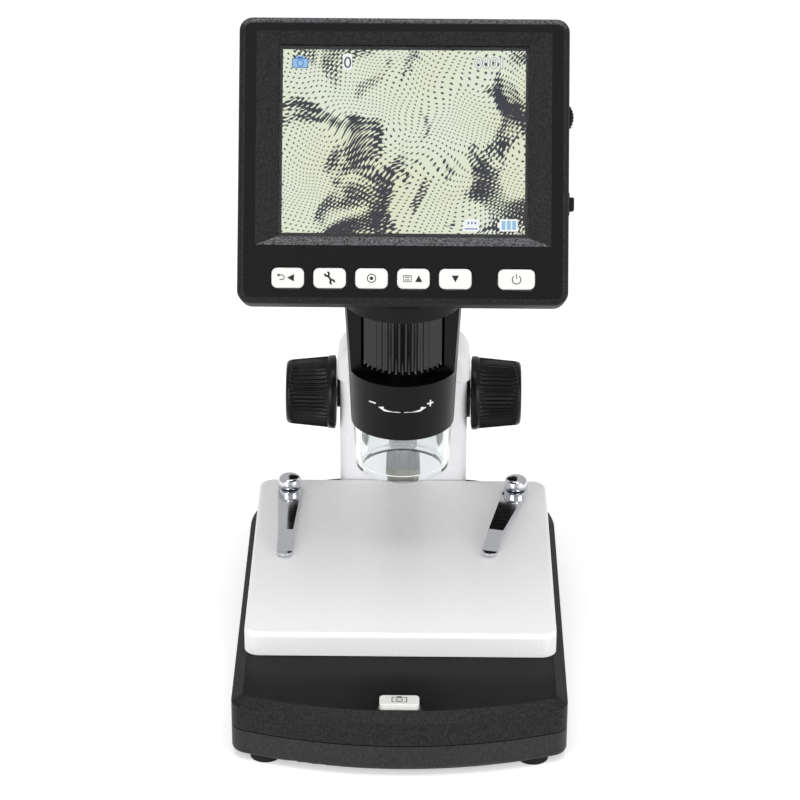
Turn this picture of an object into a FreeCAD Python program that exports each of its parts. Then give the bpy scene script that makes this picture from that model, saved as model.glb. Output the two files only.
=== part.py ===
import FreeCAD, Part
import math
import os
import re
import Sketcher

# Digital microscope with a tilted colour display: a black base with a white stage, a white
# column with a rack and pinion, and a black head that carries the optics and the display.
# Millimetres. +Z is up, the front faces -Y, the origin is on the ground under the middle.

doc = FreeCAD.newDocument("lcd_microscope")
sheet = doc.addObject("Spreadsheet::Sheet", "Sizes")

sizes = {
    # Clearances
    "gap": 0.3,
    "fit_gap": 0.1,
    "slide_gap": 0.15,
    "bore_gap": 0.05,
    # Base
    "base_width": 96.5,
    "base_front": -75.4,
    "base_back": 73.0,
    "base_bow": 131.0,
    "base_front_corner": 5.0,
    "base_back_corner": 31.0,
    "foot_height": 2.0,
    "seam_height": 10.2,
    "shoulder_height": 16.7,
    "deck_height": 20.0,
    "deck_inset": 2.3,
    "case_wall": 2.2,
    "foot_radius": 4.5,
    "foot_recess": 0.5,
    "foot_side": 38.5,
    "foot_front": -64.0,
    "foot_side_back": 26.0,
    "foot_back": 58.0,
    "boss_radius": 4.0,
    "boss_inset": 12.0,
    "screw_radius": 1.4,
    "screw_head": 2.6,
    "ballast_width": 72.0,
    "ballast_length": 74.0,
    "ballast_height": 3.0,
    # Picture button on the deck
    "snap_width": 11.4,
    "snap_depth": 5.2,
    "snap_front": -71.3,
    "snap_rise": 1.7,
    "snap_travel": 0.8,
    "switch_board_height": 1.6,
    # Stage
    "stage_width": 91.4,
    "stage_front": -42.4,
    "stage_back": 55.2,
    "stage_height": 27.5,
    "stage_corner": 4.4,
    "stage_edge": 1.3,
    "stage_wall": 2.4,
    # Stage clips
    "clip_side": 35.8,
    "clip_back": 44.8,
    "post_radius": 2.0,
    "cap_radius": 3.65,
    "clip_reach": 42.5,
    "clip_bend": 30.5,
    "clip_steel": 0.8,
    "clip_eye_width": 7.4,
    "clip_tip_width": 4.6,
    "clip_lift": 1.6,
    "clip_turn": 13.0,
    # Column
    "column_half": 20.2,
    "column_front": 56.0,
    "column_back": 75.0,
    "column_wall": 2.0,
    "column_corner": 3.0,
    "column_split": 61.6,
    "column_top": 73.5,
    "cap_overhang": 0.8,
    "cap_shoulder": 8.0,
    "slot_half": 6.0,
    "slot_bottom": 29.4,
    # Rack, pinion and slide
    "tooth_module": 0.6,
    "pinion_teeth": 12,
    "backlash": 0.12,
    "pinion_width": 7.0,
    "shaft_radius": 1.5,
    "shaft_height": 53.7,
    "shaft_depth": 65.0,
    "guide_half": 10.0,
    "guide_wall": 1.0,
    "guide_top": 72.4,
    "bar_half": 8.0,
    "bar_front": 57.9,
    "bar_steel": 2.0,
    "bar_bottom": 33.0,
    "bar_top": 100.0,
    "rack_half": 3.8,
    # Focus knobs
    "knob_inner": 21.5,
    "knob_outer": 37.4,
    "knob_flange": 2.4,
    "knob_flange_radius": 11.9,
    "knob_base_radius": 11.4,
    "knob_end_radius": 10.1,
    "knob_ribs": 48,
    "knob_groove": 0.5,
    "left_collar_radius": 4.85,
    "right_collar_radius": 7.85,
    # Head
    "tube_depth": 10.0,
    "band_bottom": 72.1,
    "band_top": 90.0,
    "window_top": 111.0,
    "window_depth": 5.3,
    "head_top": 136.0,
    "band_bottom_radius": 15.4,
    "band_top_radius": 16.2,
    "cover_radius": 17.4,
    "ring_radius": 12.9,
    "ring_ribs": 40,
    "ring_groove": 0.7,
    "ring_bottom": 91.7,
    "ring_top": 112.4,
    "ring_bore": 8.8,
    "barrel_radius": 8.4,
    "barrel_bore": 6.4,
    "barrel_bottom": 3.6,
    "barrel_top": 109.5,
    "lens_thickness": 3.0,
    "lamp_board_radius": 12.6,
    "lamp_board_bore": 7.0,
    "lamp_circle": 10.0,
    "lamp_radius": 1.5,
    "lamp_count": 8,
    "lamp_board_height": 3.3,
    "board_thickness": 1.2,
    # Clear shade
    "shade_bottom": 56.7,
    "shade_bottom_radius": 13.9,
    "shade_top_radius": 14.95,
    "shade_wall": 1.5,
    "shade_flange": 2.0,
    "shade_opening": 11.6,
    # Arm
    "arm_half": 12.0,
    "arm_bottom": 78.0,
    "arm_top": 112.0,
    "arm_back": 54.8,
    "web_half": 5.6,
    "web_bottom": 80.0,
    # Display, in its own frame: x across, z up the face, y into the housing
    "display_depth": -0.5,
    "display_height": 165.1,
    "display_tilt": 28.3,
    "frame_half": 47.0,
    "frame_low": -46.6,
    "frame_high": 35.0,
    "frame_corner": 3.8,
    "frame_edge": 2.0,
    "frame_thickness": 7.6,
    "housing_thickness": 18.0,
    "housing_wall": 2.0,
    "housing_edge": 3.0,
    "recess_half": 42.0,
    "recess_high": 31.0,
    "recess_low": -30.0,
    "recess_depth": 2.0,
    "screen_half_width": 35.6,
    "screen_half_height": 27.4,
    "window_glass": 0.9,
    "window_air": 0.15,
    "window_lip": 2.0,
    "lcd_half_width": 38.4,
    "lcd_high": 30.6,
    "lcd_low": -33.0,
    "lcd_thickness": 2.6,
    # Display keys
    "key_width": 9.2,
    "key_height": 5.7,
    "key_corner": 1.6,
    "key_pitch": 11.85,
    "key_first": -32.5,
    "key_row": -39.4,
    "power_width": 10.4,
    "power_place": 32.2,
    "key_rise": 0.9,
    "key_gap": 0.35,
    "key_travel": 0.5,
    "key_skirt": 0.7,
    # Brightness wheel and side button
    "dial_radius": 5.8,
    "dial_rise": 1.7,
    "dial_place": 7.9,
    "dial_thickness": 2.6,
    "dial_front": 8.2,
    "side_place": -16.9,
    "side_height": 3.9,
    "side_depth": 2.8,
    "side_front": 9.0,
    "side_rise": 1.9,
    "side_travel": 0.6,
    # Boards, battery and sockets in the display
    "board_half_width": 30.0,
    "main_board_low": -30.0,
    "main_board_high": 26.0,
    "battery_half": 17.0,
    "battery_high": 24.0,
    "battery_low": -10.0,
    "battery_thickness": 4.2,
}
for row, (name, value) in enumerate(sizes.items(), start=1):
    sheet.set(f"A{row}", name)
    sheet.set(f"B{row}", str(value))
    sheet.setAlias(f"B{row}", name)
doc.recompute()

nodes = []


def bind(item, prop, formula):
    """Tie one property to a formula of the sheet's sizes."""
    known = lambda word: "Sizes." + word.group(0) if word.group(0) in sizes else word.group(0)
    item.setExpression(prop, re.sub(r"[A-Za-z_]+", known, str(formula)))


def put(item, **base):
    for axis, formula in base.items():
        bind(item, f"Placement.Base.{axis}", formula)
    return item


def box(name, x, y, z):
    """A box between pairs of formulas along each axis."""
    item = doc.addObject("Part::Box", name)
    for side, axis, (low, high) in (("Length", "x", x), ("Width", "y", y), ("Height", "z", z)):
        bind(item, side, f"({high}) - ({low})")
        bind(item, f"Placement.Base.{axis}", low)
    return item


turns = {
    "x": FreeCAD.Rotation(FreeCAD.Vector(0, 1, 0), 90),
    "y": FreeCAD.Rotation(FreeCAD.Vector(1, 0, 0), -90),
    "z": FreeCAD.Rotation(),
}


def round_bar(name, axis, centre, span, radius, end_radius=None):
    """A cylinder, or a cone when the end has its own radius, along one axis."""
    item = doc.addObject("Part::Cylinder" if end_radius is None else "Part::Cone", name)
    if end_radius is None:
        bind(item, "Radius", radius)
    else:
        bind(item, "Radius1", radius)
        bind(item, "Radius2", end_radius)
    bind(item, "Height", f"({span[1]}) - ({span[0]})")
    item.Placement.Rotation = turns[axis]
    others = [letter for letter in "xyz" if letter != axis]
    put(item, **{axis: span[0], others[0]: centre[0], others[1]: centre[1]})
    return item


def fuse(name, *items):
    item = doc.addObject("Part::MultiFuse", name)
    item.Shapes = list(items)
    item.Refine = True
    return item


def cut(name, base, *tools):
    item = doc.addObject("Part::Cut", name)
    item.Base = base
    item.Tool = tools[0] if len(tools) == 1 else fuse(name + "_tools", *tools)
    item.Refine = True
    return item


def common(name, first, second):
    item = doc.addObject("Part::Common", name)
    item.Base = first
    item.Tool = second
    return item


def group(name, items):
    item = doc.addObject("Part::Compound", name)
    item.Links = list(items)
    return item


def soften(name, base, kind, radius, test):
    """Fillet or chamfer each edge of a solid that the test picks."""
    doc.recompute()
    item = doc.addObject("Part::" + kind, name)
    item.Base = base
    pair = radius if isinstance(radius, tuple) else (radius, radius)
    chosen = [i for i, edge in enumerate(base.Shape.Edges, start=1) if test(edge)]
    item.Edges = [(i, pair[0], pair[1]) for i in chosen]
    return item


def upright(edge):
    low, high = edge.BoundBox.ZMin, edge.BoundBox.ZMax
    return edge.BoundBox.XLength < 1e-4 and edge.BoundBox.YLength < 1e-4 and high - low > 1e-4


def level(height):
    return lambda edge: abs(edge.BoundBox.ZMin - height) < 1e-4 and edge.BoundBox.ZLength < 1e-4


def keep(item, label):
    """Take an item as a finished sub-part."""
    item.Label = label
    nodes.append(item)
    return item


def tilt(item):
    """Stand a display piece, drawn in the display's own frame, on the tilted head."""
    item = group(item.Name + "_tilted", [item])
    item.Placement.Rotation = FreeCAD.Rotation(FreeCAD.Vector(-1, 0, 0), sizes["display_tilt"])
    return put(item, y="display_depth", z="display_height")


def plane(body, role):
    return next(f for f in body.Origin.OriginFeatures if f.Role == role)


def rounded_sketch(body, name, role, width, height, radius, centre, offset):
    """A rounded rectangle on one of the body's planes, sized by formulas."""
    sketch = body.newObject("Sketcher::SketchObject", name)
    sketch.AttachmentSupport = [(plane(body, role), "")]
    sketch.MapMode = "FlatFace"
    bind(sketch, "AttachmentOffset.Base.z", offset)
    corners = [(1, 1), (-1, 1), (-1, -1), (1, -1)]
    for i, (x, y) in enumerate(corners):
        far = corners[(i + 1) % 4]
        start = FreeCAD.Vector(8 * x if x == far[0] else 6 * x, 8 * y if y == far[1] else 6 * y, 0)
        end = FreeCAD.Vector(8 * far[0] if x == far[0] else 6 * far[0], 8 * far[1] if y == far[1] else 6 * far[1], 0)
        sketch.addGeometry(Part.LineSegment(start, end), False)
    for i, (x, y) in enumerate(corners):
        circle = Part.Circle(FreeCAD.Vector(6 * x, 6 * y, 0), FreeCAD.Vector(0, 0, 1), 2)
        first = math.pi / 2 * i
        sketch.addGeometry(Part.ArcOfCircle(circle, first, first + math.pi / 2), False)
    for i in range(4):
        arc = 4 + i
        sketch.addConstraint(Sketcher.Constraint("Tangent", arc, 2, i, 1))
        sketch.addConstraint(Sketcher.Constraint("Tangent", (i - 1) % 4, 2, arc, 1))
        sketch.addConstraint(Sketcher.Constraint("Horizontal" if i % 2 == 0 else "Vertical", i))
    for arc in (5, 6, 7):
        sketch.addConstraint(Sketcher.Constraint("Equal", 4, arc))
    rules = [
        (Sketcher.Constraint("Radius", 4, 2.0), radius),
        (Sketcher.Constraint("DistanceX", 1, 1, 3, 1, 16.0), width),
        (Sketcher.Constraint("DistanceY", 2, 1, 0, 1, 16.0), height),
        (Sketcher.Constraint("DistanceX", -1, 1, 3, 1, 8.0), f"({centre[0]}) + ({width}) / 2"),
        (Sketcher.Constraint("DistanceY", -1, 1, 0, 1, 8.0), f"({centre[1]}) + ({height}) / 2"),
    ]
    for rule, formula in rules:
        index = sketch.addConstraint(rule)
        bind(sketch, f"Constraints[{index}]", formula)
    return sketch


def pad(body, sketch, length, reverse=False):
    item = body.newObject("PartDesign::Pad", sketch.Name + "_pad")
    item.Profile = sketch
    item.Reversed = reverse
    bind(item, "Length", length)
    return item


def pocket(body, sketch, length, reverse=False):
    item = body.newObject("PartDesign::Pocket", sketch.Name + "_pocket")
    item.Profile = sketch
    item.Reversed = reverse
    bind(item, "Length", length)
    return item


# Base: two moulded trays with a seam, standing on rubber feet

def base_slab(name, inset, z):
    """The base's outline, drawn in by an inset, as a slab between two heights."""
    block = box(name + "_block", (f"{inset} - base_width / 2", f"base_width / 2 - {inset}"),
                (f"base_front + {inset}", f"base_back - {inset}"), z)
    bow = round_bar(name + "_bow", "z", ("0", "base_front + base_bow"), z, f"base_bow - {inset}")
    cut_block = common(name + "_bowed", block, bow)
    doc.recompute()
    middle = (sizes["base_front"] + sizes["base_back"]) / 2
    front = sizes["base_front_corner"]
    drawn_in = sizes[inset] if inset in sizes else float(inset)
    back = sizes["base_back_corner"] - drawn_in
    back_edge = sizes["base_back"] - drawn_in - 0.1
    rounded = soften(name + "_front", cut_block, "Fillet", front,
                     lambda edge: upright(edge) and edge.CenterOfMass.y < middle)
    return soften(name, rounded, "Fillet", back,
                  lambda edge: upright(edge) and edge.CenterOfMass.y > back_edge)


bosses = [(x, y) for x in ("-base_width / 2 + boss_inset", "base_width / 2 - boss_inset")
          for y in ("base_front + boss_inset + 9", "base_back - boss_inset - 17")]


def base_pieces():
    lower = soften("lower_round", base_slab("lower_slab", "0", ("foot_height", "seam_height - gap / 2")),
                   "Fillet", 1.4, level(sizes["foot_height"]))
    hollow = base_slab("lower_hollow", "case_wall", ("foot_height + case_wall", "seam_height + 1"))
    feet = [("-foot_side", "foot_front"), ("foot_side", "foot_front"),
            ("-foot_side_back", "foot_back"), ("foot_side_back", "foot_back")]
    recesses = [round_bar(f"foot_recess_{i}", "z", place, ("foot_height - 1", "foot_height + foot_recess"),
                          "foot_radius + fit_gap") for i, place in enumerate(feet)]
    tray = cut("lower_tray", lower, hollow, *recesses)
    posts = [round_bar(f"boss_{i}", "z", place, ("foot_height + case_wall - 0.2", "seam_height + 2"),
                       "boss_radius") for i, place in enumerate(bosses)]
    holes = []
    for i, place in enumerate(bosses):
        holes.append(round_bar(f"boss_hole_{i}", "z", place, ("0", "seam_height + 3"), "screw_radius + fit_gap"))
        holes.append(round_bar(f"boss_sink_{i}", "z", place, ("0", "foot_height + 2"), "screw_head + fit_gap"))
    keep(cut("bottom_case_cut", fuse("bottom_case_body", tray, *posts), *holes), "base_bottom_case")

    upper = soften("upper_chamfer", base_slab("upper_slab", "0", ("seam_height + gap / 2", "deck_height")),
                   "Chamfer", (sizes["deck_inset"], sizes["deck_height"] - sizes["shoulder_height"]),
                   level(sizes["deck_height"]))
    room = base_slab("upper_hollow", "case_wall", ("seam_height - 1", "deck_height - case_wall"))
    channel = box("deck_channel", ("-bar_half - 1", "bar_half + 1"),
                  ("bar_front - 1", "shaft_depth - tooth_module * (pinion_teeth / 2 - 1) + 1"),
                  ("seam_height", "deck_height + 1"))
    snap_hole = box("snap_hole", ("-snap_width / 2 - key_gap", "snap_width / 2 + key_gap"),
                    ("snap_front - key_gap", "snap_front + snap_depth + key_gap"), ("seam_height", "deck_height + 1"))
    shell = cut("upper_shell", upper, room, channel, snap_hole)
    sockets = [round_bar(f"socket_{i}", "z", place, ("seam_height + 2 + gap", "deck_height - case_wall + 0.2"),
                         "boss_radius") for i, place in enumerate(bosses)]
    threads = [round_bar(f"socket_hole_{i}", "z", place, ("seam_height", "seam_height + 6"), "screw_radius + fit_gap")
               for i, place in enumerate(bosses)]
    keep(cut("top_case_cut", fuse("top_case_body", shell, *sockets), *threads), "base_top_case")

    keep(group("feet", [round_bar(f"foot_{i}", "z", place, ("0", "foot_height + foot_recess - 0.05"), "foot_radius")
                        for i, place in enumerate(feet)]), "rubber_feet")
    screws = []
    for i, place in enumerate(bosses):
        shank = round_bar(f"case_shank_{i}", "z", place, ("foot_height + 1", "seam_height + 5.5"), "screw_radius")
        head = round_bar(f"case_head_{i}", "z", place, ("foot_height + 0.4", "foot_height + 1.9"), "screw_head")
        screws.append(fuse(f"case_screw_{i}", shank, head))
    keep(group("screws", screws), "case_screws")
    floor = "foot_height + case_wall"
    plate = box("ballast_block", ("-ballast_width / 2", "ballast_width / 2"),
                ("-ballast_length / 2 - 10", "ballast_length / 2 - 10"), (floor, floor + " + ballast_height"))
    keep(soften("ballast_round", plate, "Fillet", 4.0, upright), "ballast_plate")


def snap_pieces():
    """The picture button with the small board and switch that it presses."""
    top = box("snap_block", ("-snap_width / 2", "snap_width / 2"), ("snap_front", "snap_front + snap_depth"),
              ("deck_height - case_wall - 1", "deck_height + snap_rise"))
    cap = soften("snap_round", soften("snap_corner", top, "Fillet", 1.2, upright), "Fillet", 0.4,
                 level(sizes["deck_height"] + sizes["snap_rise"]))
    skirt = box("snap_skirt", ("-snap_width / 2 - 1", "snap_width / 2 + 1"), ("snap_front - 0.4", "snap_front + snap_depth + 1"),
                ("deck_height - case_wall - 1.2", "deck_height - case_wall - gap"))
    keep(fuse("snap_key", cap, skirt), "snap_button")
    low = "deck_height - case_wall - 1.2 - snap_travel - 0.1"
    board_top = "foot_height + case_wall + 6.5"
    switch = box("snap_switch_block", ("-2.4", "2.4"), ("snap_front + 0.6", "snap_front + snap_depth"), (board_top, low))
    board = box("snap_board", ("-14", "14"), ("snap_front + 0.5", "snap_front + 14"),
                (board_top + " - switch_board_height", board_top))
    keep(fuse("snap_switch_body", switch, board), "snap_switch_board")
    stands = [round_bar(f"snap_stand_{i}", "z", (x, "snap_front + 10"),
                        ("foot_height + case_wall", board_top + " - switch_board_height"), "2")
              for i, x in enumerate(("-10", "10"))]
    keep(group("snap_stands", stands), "switch_board_stands")


# Stage: a white moulded plate, hollow below, with two spring clips on chrome posts

def stage_pieces():
    body = doc.addObject("PartDesign::Body", "stage_body")
    middle = "(stage_front + stage_back) / 2"
    length = "stage_back - stage_front"
    outline = rounded_sketch(body, "stage_outline", "XY_Plane", "stage_width", length, "stage_corner",
                             ("0", middle), "deck_height + gap / 2")
    pad(body, outline, "stage_height - deck_height - gap / 2")
    inside = rounded_sketch(body, "stage_hollow", "XY_Plane", "stage_width - 2 * stage_wall",
                            f"{length} - 2 * stage_wall", "stage_corner - stage_wall + 0.5",
                            ("0", middle), "deck_height + gap / 2")
    hollow = pocket(body, inside, "stage_height - stage_wall - deck_height - gap / 2", reverse=True)
    doc.recompute()
    edge = body.newObject("PartDesign::Fillet", "stage_soft_edge")
    rim = [f"Edge{i}" for i, e in enumerate(hollow.Shape.Edges, start=1) if level(sizes["stage_height"])(e)]
    edge.Base = (hollow, rim)
    bind(edge, "Radius", "stage_edge")
    body.Tip = edge
    posts = []
    holes = []
    for side, x in (("left", "-clip_side"), ("right", "clip_side")):
        posts.append(round_bar(f"{side}_stage_boss", "z", (x, "clip_back"),
                               ("deck_height + gap / 2", "stage_height - 0.5"), "post_radius + 2"))
        holes.append(round_bar(f"{side}_stage_hole", "z", (x, "clip_back"),
                               ("deck_height", "stage_height + 1"), "post_radius + bore_gap"))
    keep(cut("stage_plate_cut", fuse("stage_plate_body", body, *posts), *holes), "stage_plate")
    for side, x in (("left", "-clip_side"), ("right", "clip_side")):
        stem = round_bar(f"{side}_stem", "z", (x, "clip_back"), ("deck_height + 1", "stage_height + 4.4"), "post_radius")
        seat = round_bar(f"{side}_seat", "z", (x, "clip_back"), ("stage_height", "stage_height + clip_lift - bore_gap"),
                         "post_radius + 1")
        dome = round_bar(f"{side}_dome", "z", (x, "clip_back"), ("stage_height + 4.2", "stage_height + 6.4"), "cap_radius")
        cap = soften(f"{side}_cap", dome, "Fillet", 1.0, lambda edge: edge.BoundBox.ZLength < 1e-4)
        keep(fuse(f"{side}_post", stem, seat, cap), f"{side}_clip_post")
    clip("left", "-clip_side", 0.0)
    clip("right", "clip_side", -sizes["clip_turn"])


def clip(side, x, turn):
    """A spring steel blade: an eye on the post, a tapered arm, a bend and an upturned tip."""
    thick = sizes["clip_steel"]
    reach = sizes["clip_reach"]
    bend = sizes["clip_bend"]
    line = [(sizes["cap_radius"], 0.0), (-sizes["cap_radius"] - 1.5, 0.0), (-bend, 1.3),
            (-reach + 3.0, thick * 0.2 - sizes["clip_lift"] + 0.15), (-reach, 0.9 - sizes["clip_lift"])]
    low = [FreeCAD.Vector(0, y, z) for y, z in line]
    high = [FreeCAD.Vector(0, y, z + thick) for y, z in reversed(line)]
    side_face = Part.Face(Part.makePolygon(low + high + [low[0]]))
    blade = side_face.extrude(FreeCAD.Vector(20, 0, 0))
    blade.translate(FreeCAD.Vector(-10, 0, 0))
    eye = sizes["clip_eye_width"] / 2
    tip = sizes["clip_tip_width"] / 2
    plan = Part.Wire([
        Part.Arc(FreeCAD.Vector(eye, 0, 0), FreeCAD.Vector(0, eye, 0), FreeCAD.Vector(-eye, 0, 0)).toShape(),
        Part.LineSegment(FreeCAD.Vector(-eye, 0, 0), FreeCAD.Vector(-tip, -bend, 0)).toShape(),
        Part.LineSegment(FreeCAD.Vector(-tip, -bend, 0), FreeCAD.Vector(-tip, tip - reach, 0)).toShape(),
        Part.Arc(FreeCAD.Vector(-tip, tip - reach, 0), FreeCAD.Vector(0, -reach, 0),
                 FreeCAD.Vector(tip, tip - reach, 0)).toShape(),
        Part.LineSegment(FreeCAD.Vector(tip, tip - reach, 0), FreeCAD.Vector(tip, -bend, 0)).toShape(),
        Part.LineSegment(FreeCAD.Vector(tip, -bend, 0), FreeCAD.Vector(eye, 0, 0)).toShape(),
    ])
    outline = Part.Face(plan).extrude(FreeCAD.Vector(0, 0, 12))
    outline.translate(FreeCAD.Vector(0, 0, -6))
    hole = Part.makeCylinder(sizes["post_radius"] + sizes["bore_gap"], 12, FreeCAD.Vector(0, 0, -6))
    item = doc.addObject("Part::Feature", f"{side}_blade")
    item.Shape = blade.common(outline).cut(hole)
    item.Placement.Rotation = FreeCAD.Rotation(FreeCAD.Vector(0, 0, 1), turn)
    put(item, x=x, y="clip_back", z="stage_height + clip_lift")
    keep(item, f"{side}_stage_clip")


# Column: two white shells and a cap round a slotted guide, the shaft and its bushes

def column_pieces():
    foot = "deck_height + gap / 2"
    mid = "shaft_depth"
    outer = box("column_block", ("-column_half", "column_half"), ("column_front", "column_back"), (foot, "column_split"))
    round_outer = soften("column_round", outer, "Fillet", sizes["column_corner"], upright)
    hollow = box("column_hollow", ("column_wall - column_half", "column_half - column_wall"),
                 ("column_front + column_wall", "column_back - column_wall"), ("deck_height - 1", "column_split + 1"))
    guide_room = box("guide_room", ("-guide_half - fit_gap", "guide_half + fit_gap"),
                     ("column_front + guide_wall - fit_gap", "shaft_depth"), ("deck_height - 1", "column_split + 1"))
    slot = box("column_slot", ("-slot_half", "slot_half"), ("column_front - 1", "shaft_depth"),
               ("slot_bottom", "column_split + 1"))
    soft_slot = soften("column_slot_round", slot, "Fillet", 1.2,
                       lambda edge: edge.BoundBox.YLength > 1 and edge.BoundBox.ZMax < sizes["slot_bottom"] + 0.1)
    left_hole = round_bar("left_bush_hole", "x", (mid, "shaft_height"), ("-column_half - 2", "-column_half + 5"),
                          "left_collar_radius + fit_gap")
    right_hole = round_bar("right_bush_hole", "x", (mid, "shaft_height"), ("column_half - 5", "column_half + 2"),
                           "left_collar_radius + fit_gap")
    shell = cut("column_shell", round_outer, hollow, guide_room, soft_slot, left_hole, right_hole)
    front_half = box("column_front_half", ("-column_half - 5", "column_half + 5"), ("column_front - 5", mid),
                     ("0", "column_top"))
    back_half = box("column_back_half", ("-column_half - 5", "column_half + 5"), (mid, "column_back + 5"),
                    ("0", "column_top"))
    keep(common("column_front_cut", shell, front_half), "column_front_shell")
    keep(common("column_back_cut", shell, back_half), "column_rear_shell")

    cap = box("cap_block", ("-column_half - cap_overhang", "column_half + cap_overhang"),
              ("column_front - 0.4", "column_back + 0.4"), ("column_split + gap", "column_top"))
    along = lambda edge: edge.BoundBox.YLength > 5 and abs(edge.BoundBox.ZMax - sizes["column_top"]) < 1e-4
    shouldered = soften("cap_shoulders", cap, "Fillet", sizes["cap_shoulder"], along)
    corners = soften("cap_corners", shouldered, "Fillet", sizes["column_corner"], upright)
    room = box("cap_room", ("-guide_half - fit_gap", "guide_half + fit_gap"),
               ("column_front + guide_wall - fit_gap", "shaft_depth"), ("column_split - 1", "guide_top + fit_gap"))
    mouth = box("cap_mouth", ("-bar_half - gap", "bar_half + gap"),
                ("bar_front - gap", "shaft_depth - tooth_module * (pinion_teeth / 2 - 1) + gap"),
                ("column_split", "column_top + 1"))
    slit = box("cap_slit", ("-slot_half", "slot_half"), ("column_front - 1", "bar_front + 1"),
               ("column_split", "column_top + 1"))
    pinion_room = box("cap_pinion_room", ("-guide_half - fit_gap", "guide_half + fit_gap"),
                      ("column_front + 6", "column_back - column_wall"), ("column_split - 1", "column_split + 4"))
    keep(cut("cap_cut", corners, room, mouth, slit, pinion_room), "column_cap")

    bar_back = "bar_front + bar_steel"
    rail = box("guide_block", ("-guide_half", "guide_half"),
               ("column_front + guide_wall", "shaft_depth - shaft_radius - gap"), ("deck_height + gap", "guide_top"))
    groove = box("guide_groove", ("-bar_half - slide_gap", "bar_half + slide_gap"),
                 ("bar_front - slide_gap", bar_back + " + slide_gap"), ("deck_height", "guide_top + 1"))
    front_slot = box("guide_slot", ("-slot_half", "slot_half"), ("column_front", "bar_front + 1"),
                     ("deck_height", "guide_top + 1"))
    rack_room = box("guide_rack_room", ("-rack_half - 0.6", "rack_half + 0.6"),
                    ("bar_front", "shaft_depth - tooth_module * (pinion_teeth / 2 - 1) + slide_gap"),
                    ("deck_height", "guide_top + 1"))
    window = box("guide_window", ("-pinion_width / 2 - 0.6", "pinion_width / 2 + 0.6"),
                 ("bar_front + 1", "shaft_depth"), ("shaft_height - 6.5", "shaft_height + 6.5"))
    keep(cut("guide_cut", rail, groove, front_slot, rack_room, window), "slide_guide")


def bush_pieces():
    """Bushes held between the column shells, with the collars that show beside the knobs."""
    centre = ("shaft_depth", "shaft_height")
    left = round_bar("left_bush_body", "x", centre, ("-knob_inner + gap", "-column_half + 5.2"), "left_collar_radius")
    right = round_bar("right_bush_body", "x", centre, ("column_half - 5.2", "knob_inner - gap"), "left_collar_radius")
    flange = round_bar("right_bush_flange", "x", centre, ("column_half + 0.05", "knob_inner - gap"), "right_collar_radius")
    bore = lambda side: round_bar(f"{side}_bush_bore", "x", centre, ("-knob_outer", "knob_outer"),
                                  "shaft_radius + bore_gap")
    keep(cut("left_bush_cut", left, bore("left")), "left_bush")
    keep(cut("right_bush_cut", fuse("right_bush_solid", right, flange), bore("right")), "right_bush")


# Rack and pinion

def pinion_profile():
    """One closed outline of a spur pinion whose flanks follow the involute of its base circle."""
    module = sizes["tooth_module"]
    count = int(sizes["pinion_teeth"])
    pitch_radius = module * count / 2
    base_radius = pitch_radius * math.cos(math.radians(20))
    tip_radius = pitch_radius + 0.95 * module
    root_radius = pitch_radius - 1.25 * module
    spread = lambda angle: math.tan(angle) - angle
    half = math.pi / (2 * count) - sizes["backlash"] / (2 * pitch_radius) + spread(math.radians(20))

    def at(radius, angle):
        return FreeCAD.Vector(0, radius * math.cos(angle), radius * math.sin(angle))

    def flank(radius):
        return half - spread(math.acos(min(1.0, base_radius / radius)))

    edges = []
    step = 2 * math.pi / count
    low = base_radius * 1.002
    middle = (low + tip_radius) / 2
    for tooth in range(count):
        axis = math.pi + tooth * step
        root_in = at(root_radius, axis - half * 0.9)
        rise = at(low, axis - flank(low))
        left_tip = at(tip_radius, axis - flank(tip_radius))
        right_tip = at(tip_radius, axis + flank(tip_radius))
        fall = at(low, axis + flank(low))
        root_out = at(root_radius, axis + half * 0.9)
        next_root = at(root_radius, axis + step - half * 0.9)
        edges.append(Part.LineSegment(root_in, rise).toShape())
        edges.append(Part.Arc(rise, at(middle, axis - flank(middle)), left_tip).toShape())
        edges.append(Part.Arc(left_tip, at(tip_radius, axis), right_tip).toShape())
        edges.append(Part.Arc(right_tip, at(middle, axis + flank(middle)), fall).toShape())
        edges.append(Part.LineSegment(fall, root_out).toShape())
        edges.append(Part.Arc(root_out, at(root_radius, axis + step / 2), next_root).toShape())
    return Part.Wire(edges)


def rack_profile(low, high):
    """The rack's side outline: straight flanks at the same pressure angle, a space facing the shaft."""
    module = sizes["tooth_module"]
    pitch = math.pi * module
    back = sizes["bar_front"] + sizes["bar_steel"]
    pitch_line = sizes["shaft_depth"] - module * sizes["pinion_teeth"] / 2
    root = pitch_line - 1.25 * module
    tip = pitch_line + 0.9 * module
    slope = math.tan(math.radians(20))
    half = pitch / 4 - sizes["backlash"] / 2
    points = [(back, low), (root, low)]
    first = math.ceil((low + pitch - sizes["shaft_height"]) / pitch - 0.5)
    last = math.floor((high - pitch - sizes["shaft_height"]) / pitch - 0.5)
    for tooth in range(first, last + 1):
        centre = sizes["shaft_height"] + (tooth + 0.5) * pitch
        points.append((root, centre - half - (pitch_line - root) * slope))
        points.append((tip, centre - half + (tip - pitch_line) * slope))
        points.append((tip, centre + half - (tip - pitch_line) * slope))
        points.append((root, centre + half + (pitch_line - root) * slope))
    points += [(root, high), (back, high), (back, low)]
    return Part.makePolygon([FreeCAD.Vector(0, y, z) for y, z in points])


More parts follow.
